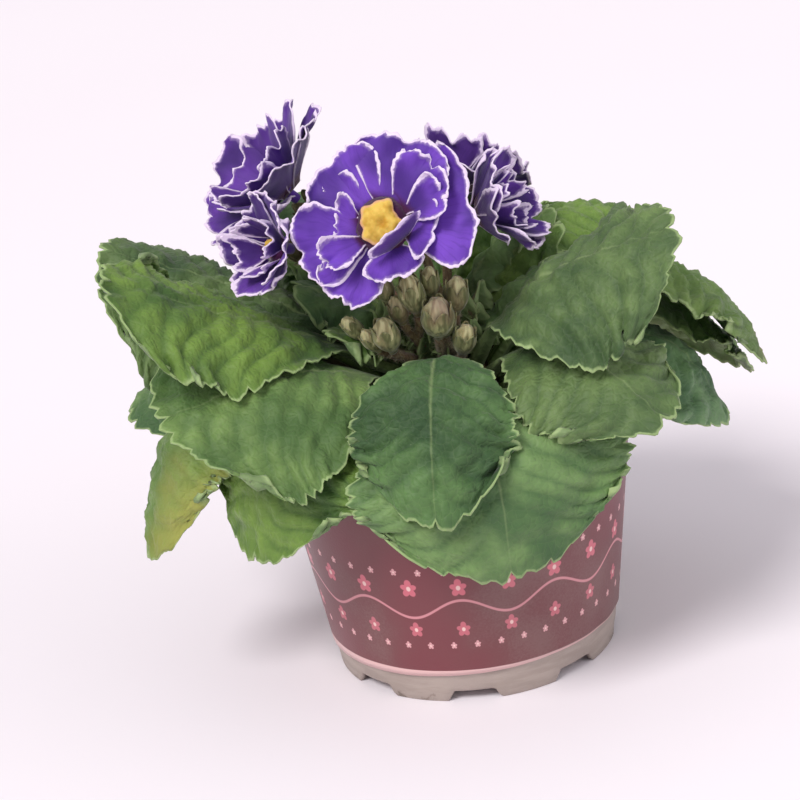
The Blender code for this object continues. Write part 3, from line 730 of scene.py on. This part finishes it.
def wave_noise(x, y=0.0, z=0.0):
    return noise.noise(Vector((x, y, z)))


def heading(around, up):
    """A way of length 1, at an angle from +X and at a climb."""
    return Vector((cos(around) * cos(up), sin(around) * cos(up), sin(up)))


def polar(radius, angle, height):
    return Vector((radius * cos(angle), radius * sin(angle), height))


def grid(draft, rows, columns):
    """A flat sheet's vertices, each with its place along the sheet, 0 to 1, and across it, -1 to 1."""
    points = bmesh.ops.create_grid(draft, x_segments=rows, y_segments=columns, size=1)["verts"]
    return [(point, (point.co.x + 1) / 2, point.co.y) for point in points]


def weld(draft, reach=WELD):
    """Joins the vertices that meet at seams and poles."""
    bmesh.ops.remove_doubles(draft, verts=draft.verts, dist=reach)


def close(draft, reach=WELD):
    """Welds a closed piece and turns its faces outwards."""
    weld(draft, reach)
    bmesh.ops.recalc_face_normals(draft, faces=draft.faces)


def lay_map(draft, sheet, flat):
    """Writes each vertex's place on the flat sheet, in metres, into the map."""
    for face in draft.faces:
        for loop in face.loops:
            loop[sheet].uv = [place * UV_UNIT for place in flat[loop.vert]]


class Midrib:
    """The middle line of a leaf, in the leaf's own frame: +X outwards, +Y to its left, +Z up."""

    STEPS = 48

    def __init__(self, leaf):
        seat = radians(leaf.seat)
        point = CROWN_CENTRE + Vector((cos(seat), 0, sin(seat))) * (CROWN_RADIUS + SEAT_GAP)
        self.points = [point]
        self.climbs = []
        self.turns = []
        for step in range(self.STEPS + 1):
            share = step / self.STEPS
            self.climbs.append(radians(leaf.rise + (leaf.fall - leaf.rise) * smooth(share)))
            self.turns.append(radians(leaf.sway) * share)
            run = leaf.length * MM / self.STEPS
            self.points.append(self.points[-1] + run * self.way(step))

    def way(self, step):
        return heading(self.turns[step], self.climbs[step])

    def at(self, share):
        """The point, the way on, the way left and the way up at a share of the length."""
        place = min(max(share, 0), 0.9999) * self.STEPS
        step = int(place)
        point = self.points[step].lerp(self.points[step + 1], place - step)
        ahead = self.way(step).lerp(self.way(step + 1), place - step).normalized()
        left = Vector((0, 0, 1)).cross(ahead)
        if left.length < 0.2:
            left = Vector((-sin(self.turns[step]), cos(self.turns[step]), 0))
        left.normalize()
        return point, ahead, left, ahead.cross(left)


def blade_share(along):
    """How far along the blade a share of the whole leaf's length lies."""
    return max(0.0, (along - STALK_SHARE) / (1 - STALK_SHARE))


def half_width(leaf, along):
    """Half the leaf's width: a winged stalk that opens into a broad, round-ended blade."""
    share = blade_share(along)
    grow = sin(0.5 * pi * min(1, share / WIDEST)) ** 1.5
    past = max(0.0, share - WIDEST) / (1 - WIDEST)
    narrow = cos(0.5 * pi * TIP_NARROWING * past)
    return STALK_HALF_WIDTH + (leaf.half_width * MM - STALK_HALF_WIDTH) * grow * narrow


def leaf_point(leaf, midrib, along, across, tooth):
    """A point of the leaf's upper face; along runs 0 to 1, across -1 to 1 from right to left."""
    share = blade_share(along)
    reach = along - TIP_ROUNDING * (1 - sqrt(1 - 0.96 * across**2)) * share**3
    point, ahead, left, up = midrib.at(reach)
    offset = abs(across) * (half_width(leaf, along) + tooth)
    hang = radians((leaf.fold + leaf.curl * abs(across)) * min(1, 2 * share))
    roll = radians(leaf.roll) * smooth(along)
    lean = copysign(hang, across) + roll
    side = copysign(offset, across)
    phase = radians(leaf.azimuth) * 7 + (2.1 if across > 0 else 0)
    wave = leaf.ruffle * MM * across**2 * share * sin(tau * WAVES * share + phase)
    beat = wave_noise(5 * share, across, leaf.azimuth)
    frill = (1 + 0.8 * beat) * FRILL_DEPTH * across**4 * share * sin(tau * 2.7 * WAVES * share + 2 * phase)
    lift = wave + frill - side * sin(lean)
    beyond = ahead * max(0.0, reach - 1) * leaf.length * MM
    return point + beyond + left * side * cos(lean) + up * lift


def tooth(leaf, distance, side):
    """How far the margin stands out at a distance along it: round scallops with small teeth on them."""
    jitter = 0.8 * wave_noise(distance / (14 * MM), leaf.azimuth, side)
    scallop = sin(pi * ((distance / SCALLOP_PITCH + jitter) % 1)) ** 0.6
    small = 1 - abs(2 * ((distance / TOOTH_PITCH + 2 * jitter) % 1) - 1)
    uneven = 0.85 + 0.9 * wave_noise(distance / (9 * MM), side, leaf.azimuth)
    return SCALLOP_DEPTH * scallop * uneven + TOOTH_DEPTH * small


def leaf_relief(leaf, x, y):
    """Depth of the creases at a place on the flat blade, and how deep in a crease it lies, 0 to 1."""
    wander = 0.95 * wave_noise(58 * x, 58 * y, leaf.azimuth)
    back = VEIN_SLANT * abs(y) + VEIN_BEND * y * y
    phase = (x - back) / VEIN_PITCH + copysign(0.25, y) + wander
    off_vein = abs(2 * (phase - round(phase)))
    quilt = sin(0.5 * pi * off_vein) ** 0.8
    cross = (abs(y) + 0.5 * x) / CUSHION_PITCH + 0.5 * round(phase) + 0.6 * wave_noise(140 * x, 140 * y, 3)
    cushion = abs(sin(pi * cross)) ** 0.7 * off_vein
    middle = exp(-((y / MIDRIB_WIDTH) ** 2))
    grow = min(1.0, 0.35 + abs(y) / (12 * MM))
    swell = wave_noise(36 * x, 36 * y, leaf.azimuth + 5)
    pucker = wave_noise(170 * x, 170 * y, leaf.azimuth + 9)
    uneven = 0.75 + 0.9 * wave_noise(70 * x, 70 * y, leaf.azimuth + 2)
    depth = QUILT_DEPTH * (quilt - 0.6) * grow * uneven + CUSHION_DEPTH * (cushion - 0.5)
    depth += SWELL_DEPTH * swell + PUCKER_DEPTH * pucker - MIDRIB_DEPTH * middle
    deep = 0.75 * (1 - quilt) * grow + 0.35 * (1 - cushion) * off_vein + 0.3 * middle
    return depth * leaf.crinkle, min(1.0, deep)


def make_leaf(name, leaf, cells=LEAF_GRID, thickness=STALK_THICKNESS):
    """A leaf blade as one fine sheet, with its keel under the midrib."""
    midrib = Midrib(leaf)
    draft = bmesh.new()
    margin = draft.verts.layers.float.new("margin")
    crease = draft.verts.layers.float.new("crease")
    keel = draft.verts.layers.deform.verify()
    sheet = draft.loops.layers.uv.new("blade")
    flat = {}
    reliefs = {}
    for point, along, column in grid(draft, *cells):
        across = sin(CROWDING * column) / sin(CROWDING)
        share = blade_share(along)
        x, y = along * leaf.length * MM, across * half_width(leaf, along)
        at_side = smooth((abs(across) - 0.7) / 0.3) * smooth(4 * share)
        side_tooth = tooth(leaf, x, copysign(1, across)) * at_side
        end_tooth = tooth(leaf, y, 3) * smooth((along - 0.93) / 0.07) / (leaf.length * MM)
        point.co = leaf_point(leaf, midrib, along + end_tooth, across, side_tooth)
        depth, in_crease = leaf_relief(leaf, x, y)
        edge = min((1 - abs(across)) * half_width(leaf, along), (1 - along) * leaf.length * MM)
        point[margin] = edge
        # how deep in a crease; the leaf skin darkens by this as painted shade
        point[crease] = in_crease * smooth(4 * share)
        rib = exp(-((y / KEEL_WIDTH) ** 2)) * max(0.0, 1 - 0.9 * along) ** 1.3
        stalk = max(0.0, 1 - along / STALK_SHARE)
        thin = BLADE_THICKNESS / thickness
        point[keel][0] = min(1.0, thin + (1 - thin) * rib + 0.3 * stalk)
        flat[point] = (x, y)
        reliefs[point] = depth * smooth(3 * share) * smooth(edge / (2 * MM))
    draft.normal_update()
    for point, relief in reliefs.items():
        point.co += point.normal * relief
    lay_map(draft, sheet, flat)
    bmesh.ops.rotate(draft, verts=draft.verts, matrix=Matrix.Rotation(radians(leaf.azimuth), 3, "Z"))
    nodes = [name] if name in LEAVES else []
    piece = keep(name + "_blade", draft, (TOPS[leaf.finish], UNDERSIDE), "leaf_green", *nodes)
    piece.vertex_groups.new(name="keel")
    return thicken(piece, thickness, "keel", other_side=1)


def frame_of(flower):
    """A frame with +Z the way a flower faces, +Y its top and +X its right seen from its front."""
    around = radians(flower.azimuth)
    facing = heading(around, radians(flower.elevation))
    across = Vector((-sin(around), cos(around), 0))
    top = facing.cross(across)
    turn = Matrix((across, top, facing)).transposed().to_4x4()
    return Matrix.Translation(Vector(flower.place) * MM) @ turn


def petal_point(petal, along, across):
    """A point of the petal's front face, in the bloom's frame; across runs -1 to 1."""
    length = petal.length * MM
    steps = 12
    notch = NOTCH_DEPTH * exp(-((across / 0.16) ** 2)) * along**6
    fringe = FRINGE_DEPTH * wave_noise(7 * across, petal.angle, petal.root) * along**4
    fringe += 0.03 * wave_noise(26 * across, petal.angle, petal.root) * along**6
    rounding = PETAL_ROUNDING * (1 - sqrt(1 - 0.97 * across**2)) * along**2
    reach = length * along * (1 - rounding - notch + fringe)
    out, front = 0.0, 0.0
    for step in range(steps):
        climb = radians(petal.rise + (petal.fall - petal.rise) * along * (step + 0.5) / steps)
        out += reach / steps * cos(climb)
        front += reach / steps * sin(climb)
    grow = sin(0.5 * pi * min(1, along / PETAL_WIDEST)) ** 1.3
    width = petal.half_width * MM * (PETAL_FOOT + (1 - PETAL_FOOT) * grow)
    width *= 1 + 0.07 * wave_noise(8 * along, petal.angle, across) - 0.05 * smooth((along - 0.8) / 0.2)
    side = width * across
    front += petal.cup * MM * across**2 * along + side * tan(radians(petal.twist))
    wave = sin(5 * along + 3 * across + radians(3 * petal.angle))
    front += PETAL_WAVE * along**2 * across**2 * wave
    rim = smooth((max(along, abs(across)) - 0.55) / 0.45)
    front += CURL_DEPTH * rim * along * sin(8 * across + 6 * along + petal.angle)
    front += 0.5 * MM * rim * along * wave_noise(9 * across, 6 * along, petal.angle)
    front -= PETAL_GROOVE * exp(-((across / 0.09) ** 2)) * along
    turn = Matrix.Rotation(radians(petal.angle), 3, "Z")
    return turn @ Vector((petal.root * MM + out, side, petal.height * MM + front))


def make_petals(name, bloom):
    """All of a bloom's petals as fine sheets in one piece."""
    draft = bmesh.new()
    margin = draft.verts.layers.float.new("margin")
    share = draft.verts.layers.float.new("share")
    sheet = draft.loops.layers.uv.new("petal")
    flat = {}
    for petal in bloom.petals:
        for point, along, across in grid(draft, *PETAL_GRID):
            width = petal.half_width * MM
            point.co = petal_point(petal, along, across)
            point[margin] = min((1 - abs(across)) * width, (1 - along) * petal.length * MM)
            point[share] = along
            flat[point] = (along * petal.length * MM, across * width)
    lay_map(draft, sheet, flat)
    draft.transform(frame_of(bloom))
    # the blooms round the main one take the darker copy of the petal skin, as painted shade
    front = PETALS if name == "bloom_main" else SHADED_PETALS
    piece = keep(name + "_petals", draft, (front, PETAL_BACKS), "petal_violet", name)
    return thicken(piece, PETAL_THICKNESS, other_side=1)


def make_cup(name, bloom):
    """The top of a bloom's tube, which widens into the cup that its petals grow from."""
    rim = bloom.eye + BUTTON_MARGIN / MM
    # Heights and radii in millimetres, from the foot up
    profile = (
        (-6.0, 0.0),
        (-5.9, 1.4),
        (-3.4, 1.5),
        (-2.6, 2.0),
        (-1.7, 0.55 * rim),
        (-0.8, 0.9 * rim),
        (-0.3, 0.98 * rim),
        (-0.2, 0.0),
    )
    draft = bmesh.new()
    margin = draft.verts.layers.float.new("margin")
    share_of = draft.verts.layers.float.new("share")
    path = [Vector((0, 0, height)) * MM for height, _ in profile]
    steps = len(profile) - 1
    tube(draft, path, lambda share, angle: profile[round(share * steps)][1] * MM, CUP_SIDES)
    for point in draft.verts:
        point[margin] = 5 * MM
        point[share_of] = 0.08 if point.co.z > -0.4 * MM else 0.5
    draft.transform(frame_of(bloom))
    keep(name + "_cup", draft, (PETALS,), "petal_violet")


def make_eye(name, bloom):
    """The five-lobed star in a bloom's middle, sunk into a little tube."""
    draft = bmesh.new()
    share_of = draft.verts.layers.float.new("share")
    for point, share, turn in grid(draft, *EYE_GRID):
        angle = pi * (turn + 1)
        lobe = 1.0 + 0.09 * cos(5 * angle) + 0.05 * cos(10 * angle + 1)
        ripple = 1 + 0.3 * wave_noise(1.2 * cos(angle), 1.2 * sin(angle), bloom.eye)
        radius = bloom.eye * MM * share * lobe * ripple
        fold = 0.35 * cos(5 * angle) * share + 0.15 * cos(10 * angle) * share
        height = EYE_HEIGHT * (smooth(share / 0.35) - 0.8 * smooth((share - 0.6) / 0.4) + 0.4 * fold)
        point.co = polar(radius, angle, EYE_GAP + max(0.0, height))
        point[share_of] = share
    weld(draft)
    draft.transform(frame_of(bloom))
    node = name.replace("bloom", "eye")
    return thicken(keep(node + "_star", draft, (EYE,), "eye_yellow", node), EYE_SHEET)


def foot_on_crown(azimuth, seat):
    way = heading(radians(azimuth), radians(seat))
    return CROWN_CENTRE + way * (CROWN_RADIUS + SEAT_GAP), way


def stem_path(flower, base, way, steps):
    """Points of a stalk from the crown to base, where it arrives along way."""
    foot, out = foot_on_crown(flower.foot_azimuth, flower.foot_seat)
    pull = 0.45 * (base - foot).length
    path = []
    for step in range(steps + 1):
        share = step / steps
        path.append(
            foot * (1 + 2 * share) * (1 - share) ** 2
            + base * (3 - 2 * share) * share**2
            + out * pull * share * (1 - share) ** 2
            - way * pull * share**2 * (1 - share)
        )
    return path


def stem_radius(share, angle):
    """A stalk's radius: a little thicker at its foot, with five low ribs."""
    return STEM_RADIUS * (1.15 - 0.15 * share + 0.06 * cos(5 * angle))


def tube(draft, path, radius_of, columns):
    """A tube round a path; radius_of gives its radius at a share of the path and an angle."""
    rows = len(path) - 1
    ahead = (path[1] - path[0]).normalized()
    side = ahead.orthogonal().normalized()
    frames = []
    for row in range(rows + 1):
        ahead = (path[min(row + 1, rows)] - path[max(row - 1, 0)]).normalized()
        side = (side - ahead * side.dot(ahead)).normalized()
        frames.append((path[row], side, ahead.cross(side)))
    for point, share, turn in grid(draft, rows, columns):
        row = round(share * rows)
        angle = pi * (turn + 1)
        middle, side, other = frames[row]
        radius = radius_of(row / rows, angle)
        point.co = middle + (side * cos(angle) - other * sin(angle)) * radius
    weld(draft)


def add_down(draft, path, count, seed):
    """Short hairs that stand out of a stalk."""
    draw = random.Random(seed)
    for _ in range(count):
        place = draw.uniform(0.05, 0.98) * (len(path) - 1)
        step = int(place)
        middle = path[step].lerp(path[step + 1], place - step)
        ahead = (path[step + 1] - path[step]).normalized()
        out = (ahead.orthogonal().normalized() + 0.3 * ahead).normalized()
        out.rotate(Matrix.Rotation(draw.uniform(0, tau), 3, ahead))
        length = draw.uniform(0.7, 1.5) * MM
        size = {"radius1": HAIR_RADIUS, "radius2": HAIR_TIP, "depth": length}
        hair = bmesh.ops.create_cone(draft, segments=3, **size)["verts"]
        turn = Vector((0, 0, 1)).rotation_difference(out).to_matrix().to_4x4()
        place = Matrix.Translation(middle + out * (STEM_RADIUS + 0.4 * length))
        bmesh.ops.transform(draft, matrix=place @ turn, verts=hair)


def make_stalk(name, bloom):
    """A bloom's stalk, its ridged five-toothed calyx and its down."""
    node = name.replace("bloom", "stalk")
    place = frame_of(bloom)
    end = place @ Vector((0, 0, -BUTTON_DEPTH - TUBE_LENGTH - SEAT_GAP))
    way = place.to_3x3() @ Vector((0, 0, 1))
    base = end - way * CALYX_LENGTH
    path = stem_path(bloom, base, way, STALK_STEPS)
    make_stem(node, path, HAIRS_ON_STALK, 3 + len(name), node)
    make_calyx(node, base, way, (CALYX_LENGTH, CALYX_RADIUS), 1.0, len(name))


def make_stem(name, path, hairs, seed, *nodes):
    """A stalk along a path, and its down."""
    draft = bmesh.new()
    tube(draft, path, stem_radius, STALK_SIDES)
    keep(name + "_stem", draft, (STALK_SKIN,), "stem_green", *nodes)
    draft = bmesh.new()
    add_down(draft, path, hairs, seed)
    keep(name + "_down", draft, (HAIR,), "stem_green")


def make_calyx(name, base, way, size, opening, seed):
    """A ridged cup with five pointed teeth, of this length and radius; opening spreads the teeth."""
    length, radius = size
    draft = bmesh.new()
    share_of = draft.verts.layers.float.new("share")
    for point, share, turn in grid(draft, *CALYX_GRID):
        angle = -pi * (turn + 1)
        lobe = abs(cos(2.5 * angle))
        reach = length * share * (1 - 0.3 * share**3 * (1 - lobe**0.8))
        swell = smooth(share / 0.3) * (0.35 + 0.65 * smooth(share / 0.6))
        narrow = 1 - (0.25 - 0.3 * opening) * smooth((share - 0.5) / 0.5)
        ridge = 1 + 0.09 * (lobe**6) - 0.05 * wave_noise(4 * share, angle, seed)
        here = CALYX_FOOT + (radius - CALYX_FOOT) * swell * narrow * ridge
        point.co = polar(here, angle, reach)
        point[share_of] = lobe**8 * 0.9 + 0.1 * share
    weld(draft)
    draft.transform(Matrix.Translation(base) @ way.to_track_quat("Z", "Y").to_matrix().to_4x4())
    thicken(keep(name + "_calyx", draft, (CALYX_SKIN,), "stem_green"), CALYX_SHEET)


def make_bud(name, bud):
    """A bud: a closed calyx with the furled petals' tip in it, on its stalk."""
    place = frame_of(bud)
    tip = place.translation
    way = place.to_3x3() @ Vector((0, 0, 1))
    length, radius = bud.length * MM, bud.radius * MM
    base = tip - way * length
    path = stem_path(bud, base, way, BUD_STALK_STEPS)
    make_stem(name, path, HAIRS_ON_BUD, 11 + bud.azimuth, *([name] if name in BUDS else []))
    make_calyx(name, base, way, (0.86 * length, radius), 0.1, bud.length)
    draft = bmesh.new()

    def up_bud(share):
        return FURLED_FROM + (1 - FURLED_FROM) * share

    def furled(share, angle):
        body = sin(pi * min(1, up_bud(share))) ** 0.55 if share < 1 else 0
        return radius * (0.86 * body + 0.02) * (1 + 0.12 * cos(5 * angle + 7 * share))

    core = [base + way * length * up_bud(step / BUD_STEPS) for step in range(BUD_STEPS + 1)]
    tube(draft, core, furled, BUD_SIDES)
    keep(name + "_petals", draft, (BUD_PETALS,), "stem_green")


def wall_radius(height):
    """Outer radius of the pot's plain wall at a height."""
    top = POT_HEIGHT - COLLAR_HEIGHT
    return FOOT_RADIUS + (RIM_RADIUS - COLLAR_STEP - FOOT_RADIUS) * height / top


def spun(draft, profile, steps):
    """Turns a closed profile of (radius, height) about Z."""
    corners = [draft.verts.new((radius, 0, height)) for radius, height in profile]
    edges = [draft.edges.new((start, end)) for start, end in zip(corners, corners[1:] + corners[:1])]
    turn = {"cent": (0, 0, 0), "axis": (0, 0, 1), "angle": tau}
    bmesh.ops.spin(draft, geom=corners + edges, steps=steps, use_merge=True, **turn)
    close(draft, POT_WELD)


def arch_lift(angle):
    """How far the foot is cut away at an angle: low arches with sloping sides."""
    spacing = tau / ARCH_COUNT
    off = abs((angle - FIRST_ARCH + spacing / 2) % spacing - spacing / 2) * FOOT_RADIUS
    return ARCH_HEIGHT * smooth((0.5 * ARCH_WIDTH - off) / ARCH_SLOPE)


def make_pot():
    """The pot's wall with its rolled collar and its arched foot."""
    collar = POT_HEIGHT - COLLAR_HEIGHT
    lip = 0.8 * MM
    step = 1.5 * MM
    profile = [
        (RIM_RADIUS - lip, POT_HEIGHT),
        (RIM_RADIUS - 0.25 * lip, POT_HEIGHT - 0.25 * lip),
        (RIM_RADIUS, POT_HEIGHT - lip),
        (RIM_RADIUS - 0.3 * lip, POT_HEIGHT - 0.5 * COLLAR_HEIGHT),
        (RIM_RADIUS - lip, collar + step),
        (RIM_RADIUS - 1.5 * lip, collar + 0.6 * step),
        (wall_radius(collar), collar),
        (wall_radius(0.6 * collar), 0.6 * collar),
        (wall_radius(0.2 * collar), 0.2 * collar),
        (wall_radius(ARCH_HEIGHT + 1.2 * MM), ARCH_HEIGHT + 1.2 * MM),
        (FOOT_RADIUS + 0.1 * MM, 0.3 * MM),
        (FOOT_RADIUS - 0.2 * MM, 0),
        (FOOT_RADIUS - POT_WALL, 0),
        (wall_radius(FLOOR_RISE) - POT_WALL, FLOOR_RISE - POT_WALL),
        (wall_radius(FLOOR_RISE) - POT_WALL, FLOOR_RISE),
        (wall_radius(collar) - POT_WALL, collar),
        (RIM_RADIUS - lip - POT_WALL, collar + step),
        (RIM_RADIUS - lip - POT_WALL, POT_HEIGHT - lip),
        (RIM_RADIUS - lip - 0.5 * POT_WALL, POT_HEIGHT),
    ]
    draft = bmesh.new()
    spun(draft, profile, POT_SIDES)
    for point in draft.verts:
        flat = Vector(point.co.xy)
        if point.co.z < 1 * MM and flat.length > FOOT_RADIUS - 2 * POT_WALL:
            point.co.z += arch_lift(atan2(flat.y, flat.x))
    keep("pot_shell", draft, (PLASTIC,), "pot_plastic", "pot")


def make_pot_floor():
    """The pot's floor, with its drain holes behind every second arch."""
    draft = bmesh.new()

    def ring(centre, radius, count):
        corners = []
        for step in range(count):
            angle = tau * step / count
            place = centre + radius * Vector((cos(angle), sin(angle)))
            corners.append(draft.verts.new((*place, FLOOR_RISE)))
        for start, end in zip(corners, corners[1:] + corners[:1]):
            draft.edges.new((start, end))

    ring(Vector((0, 0)), wall_radius(FLOOR_RISE) - 0.5 * POT_WALL, POT_SIDES)
    for turn in range(0, ARCH_COUNT, 2):
        angle = FIRST_ARCH + turn * tau / ARCH_COUNT
        ring(Vector((cos(angle), sin(angle))) * DRAIN_CIRCLE, DRAIN_RADIUS, DRAIN_SIDES)
    bmesh.ops.triangle_fill(draft, edges=draft.edges, use_beauty=True)
    bmesh.ops.recalc_face_normals(draft, faces=draft.faces)
    if next(iter(draft.faces)).normal.z < 0:
        bmesh.ops.reverse_faces(draft, faces=draft.faces)
    thicken(keep("pot_floor", draft, (PLASTIC,), "pot_plastic"), POT_WALL)


def make_sleeve():
    """The printed film round the pot, lapped at the back, with slack ripples at its edges."""
    draft = bmesh.new()
    sheet = draft.loops.layers.uv.new("print")
    flat = {}
    for point, share, level in grid(draft, *SLEEVE_GRID):
        turn = 2 * share - 1
        angle = -0.5 * pi + pi * (1 + SLEEVE_LAP) * turn
        bottom = SLEEVE_BOTTOM + SLEEVE_TILT * cos(angle)
        height = bottom + (SLEEVE_TOP - bottom) * (level + 1) / 2
        edge = level**8
        ripple = 0.12 * MM * wave_noise(4 * angle, 30 * height) + 0.16 * MM * edge * wave_noise(7 * angle, 3)
        lap = LAP_RISE * smooth((turn - 0.9) / 0.06)
        out = wall_radius(height) + SLEEVE_GAP + 0.3 * MM + ripple + lap
        point.co = polar(out, angle, height)
        flat[point] = (angle * wall_radius(VINE_HEIGHT), height)
    lay_map(draft, sheet, flat)
    thicken(keep("sleeve_film", draft, (PRINT,), "sleeve_print", "label_sleeve"), FILM)


def make_compost():
    """The heaped surface of the compost with loose crumbs on it, and its plug below."""
    edge_radius = wall_radius(SOIL_EDGE) - POT_WALL - SOIL_GAP
    bottom = FLOOR_RISE + 0.3 * MM

    def surface(radius, angle):
        share = radius / edge_radius
        x, y = radius * cos(angle), radius * sin(angle)
        lump = 1.3 * wave_noise(150 * x, 150 * y) + 0.6 * wave_noise(420 * x, 420 * y, 7)
        return SOIL_TOP - (SOIL_TOP - SOIL_EDGE) * share**2 + lump * MM * (1 - share**8)

    draft = bmesh.new()
    for point, place, turn in grid(draft, *COMPOST_GRID):
        angle = pi * (turn + 1)
        if place < SURFACE_SHARE:
            radius = edge_radius * place / SURFACE_SHARE
            point.co = polar(radius, angle, surface(radius, angle))
        else:
            down = (place - SURFACE_SHARE) / (1 - SURFACE_SHARE)
            height = SOIL_EDGE + (bottom - SOIL_EDGE) * min(1.0, down / 0.9)
            radius = min(edge_radius, wall_radius(height) - POT_WALL - SOIL_GAP)
            if down > 0.92:
                radius = 0.0
            point.co = polar(radius, angle, height)
    close(draft)
    keep("compost_plug", draft, (COMPOST,), "compost", "compost")
    draw = random.Random(5)
    draft = bmesh.new()
    for _ in range(CRUMBS):
        radius, angle = edge_radius * sqrt(draw.uniform(0.1, 0.92)), draw.uniform(0, tau)
        size = draw.uniform(0.4, 1.5) * MM
        place = polar(radius, angle, surface(radius, angle) + 0.2 * size)
        crumb = bmesh.ops.create_icosphere(draft, subdivisions=1, radius=size)["verts"]
        squash = Matrix.Diagonal((1, draw.uniform(0.5, 1), draw.uniform(0.4, 0.8), 1))
        turn = Matrix.Rotation(draw.uniform(0, tau), 4, "Z")
        bmesh.ops.transform(draft, matrix=Matrix.Translation(place) @ turn @ squash, verts=crumb)
    keep("compost_crumbs", draft, (COMPOST,), "compost")


def make_crown():
    """The short rootstock's dome, ringed with old leaf bases."""
    draft = bmesh.new()
    for point, share, turn in grid(draft, *CROWN_GRID):
        angle = pi * (turn + 1)
        if share < 0.5:
            tilt = pi * share
            radius, height = CROWN_RADIUS * sin(tilt), CROWN_RADIUS * cos(tilt)
        else:
            down = 2 * share - 1
            radius, height = CROWN_RADIUS * (1 - 0.6 * down), -CROWN_DEPTH * down
        ring = 0.35 * MM * sin(9 * angle + 40 * share) * sin(pi * min(1, 2 * share))
        radius = max(0.0, radius + (ring if 0.02 < share < 0.98 else 0))
        if share > 0.99:
            radius = 0.0
        point.co = CROWN_CENTRE + polar(radius, angle, height)
    close(draft)
    keep("crown_dome", draft, (CROWN_SKIN,), "crown_skin", "crown")


def make_floor():
    draft = bmesh.new()
    bmesh.ops.create_grid(draft, x_segments=1, y_segments=1, size=FLOOR_HALF)
    floor = add_mesh("floor", draft, (FLOOR,))


def add_light(kind, name, place, power, softness, colour):
    """A light that shines at the middle of the plant; softness is a lamp's size or a sun's angle."""
    lamp = bpy.data.lights.new(name, kind)
    if kind == "SUN":
        lamp.angle = softness
    else:
        lamp.size = softness
    lamp.energy = power
    lamp.color = colour
    light = add_object(name, lamp)
    light.location = place
    light.rotation_euler = (LIGHT_AIM - light.location).to_track_quat("-Z", "Y").to_euler()


def make_studio():
    """The floor, soft lights and a camera at the photograph's place, which is turned about its own axis."""
    make_floor()
    world = bpy.data.worlds.new("studio")
    world.use_nodes = True
    world.node_tree.nodes["Background"].inputs["Color"].default_value = (1, 0.97, 0.985, 1)
    world.node_tree.nodes["Background"].inputs["Strength"].default_value = DAYLIGHT
    bpy.context.scene.world = world
    bpy.context.scene.view_settings.view_transform = "Standard"
    add_light("SUN", "key_light", (-0.45, -0.6, 0.95), 2.15, radians(24), (1, 0.98, 0.95))
    add_light("AREA", "fill_light", (0.8, -0.5, 0.6), 2.3, 0.9, (0.96, 0.98, 1))
    lens = bpy.data.cameras.new("camera")
    lens.lens = LENS
    camera = add_object("camera", lens)
    camera.location = CAMERA_PLACE
    level = (CAMERA_AIM - camera.location).to_track_quat("-Z", "Y").to_matrix()
    camera.rotation_euler = (level @ Matrix.Rotation(CAMERA_TURN, 3, "Z")).to_euler()
    bpy.context.scene.camera = camera


def main():
    make_studio()
    make_pot()
    make_pot_floor()
    make_sleeve()
    make_compost()
    make_crown()
    for name, leaf in LEAVES.items():
        make_leaf(name, leaf)
    for number, leaf in enumerate(INNER_LEAVES, 1):
        make_leaf(f"inner_leaf_{number}", leaf, INNER_LEAF_GRID, INNER_LEAF_FOOT)
    for number, leaf in enumerate(bracts(), 1):
        make_leaf(f"bract_{number}", leaf, BRACT_GRID, BRACT_FOOT)
    for name, bloom in BLOOMS.items():
        make_petals(name, bloom)
        make_cup(name, bloom)
        make_eye(name, bloom)
        make_stalk(name, bloom)
    for name, bud in BUDS.items():
        make_bud(name, bud)
    for number, bud in enumerate(SMALL_BUDS, 1):
        make_bud(f"small_bud_{number}", bud)


main()
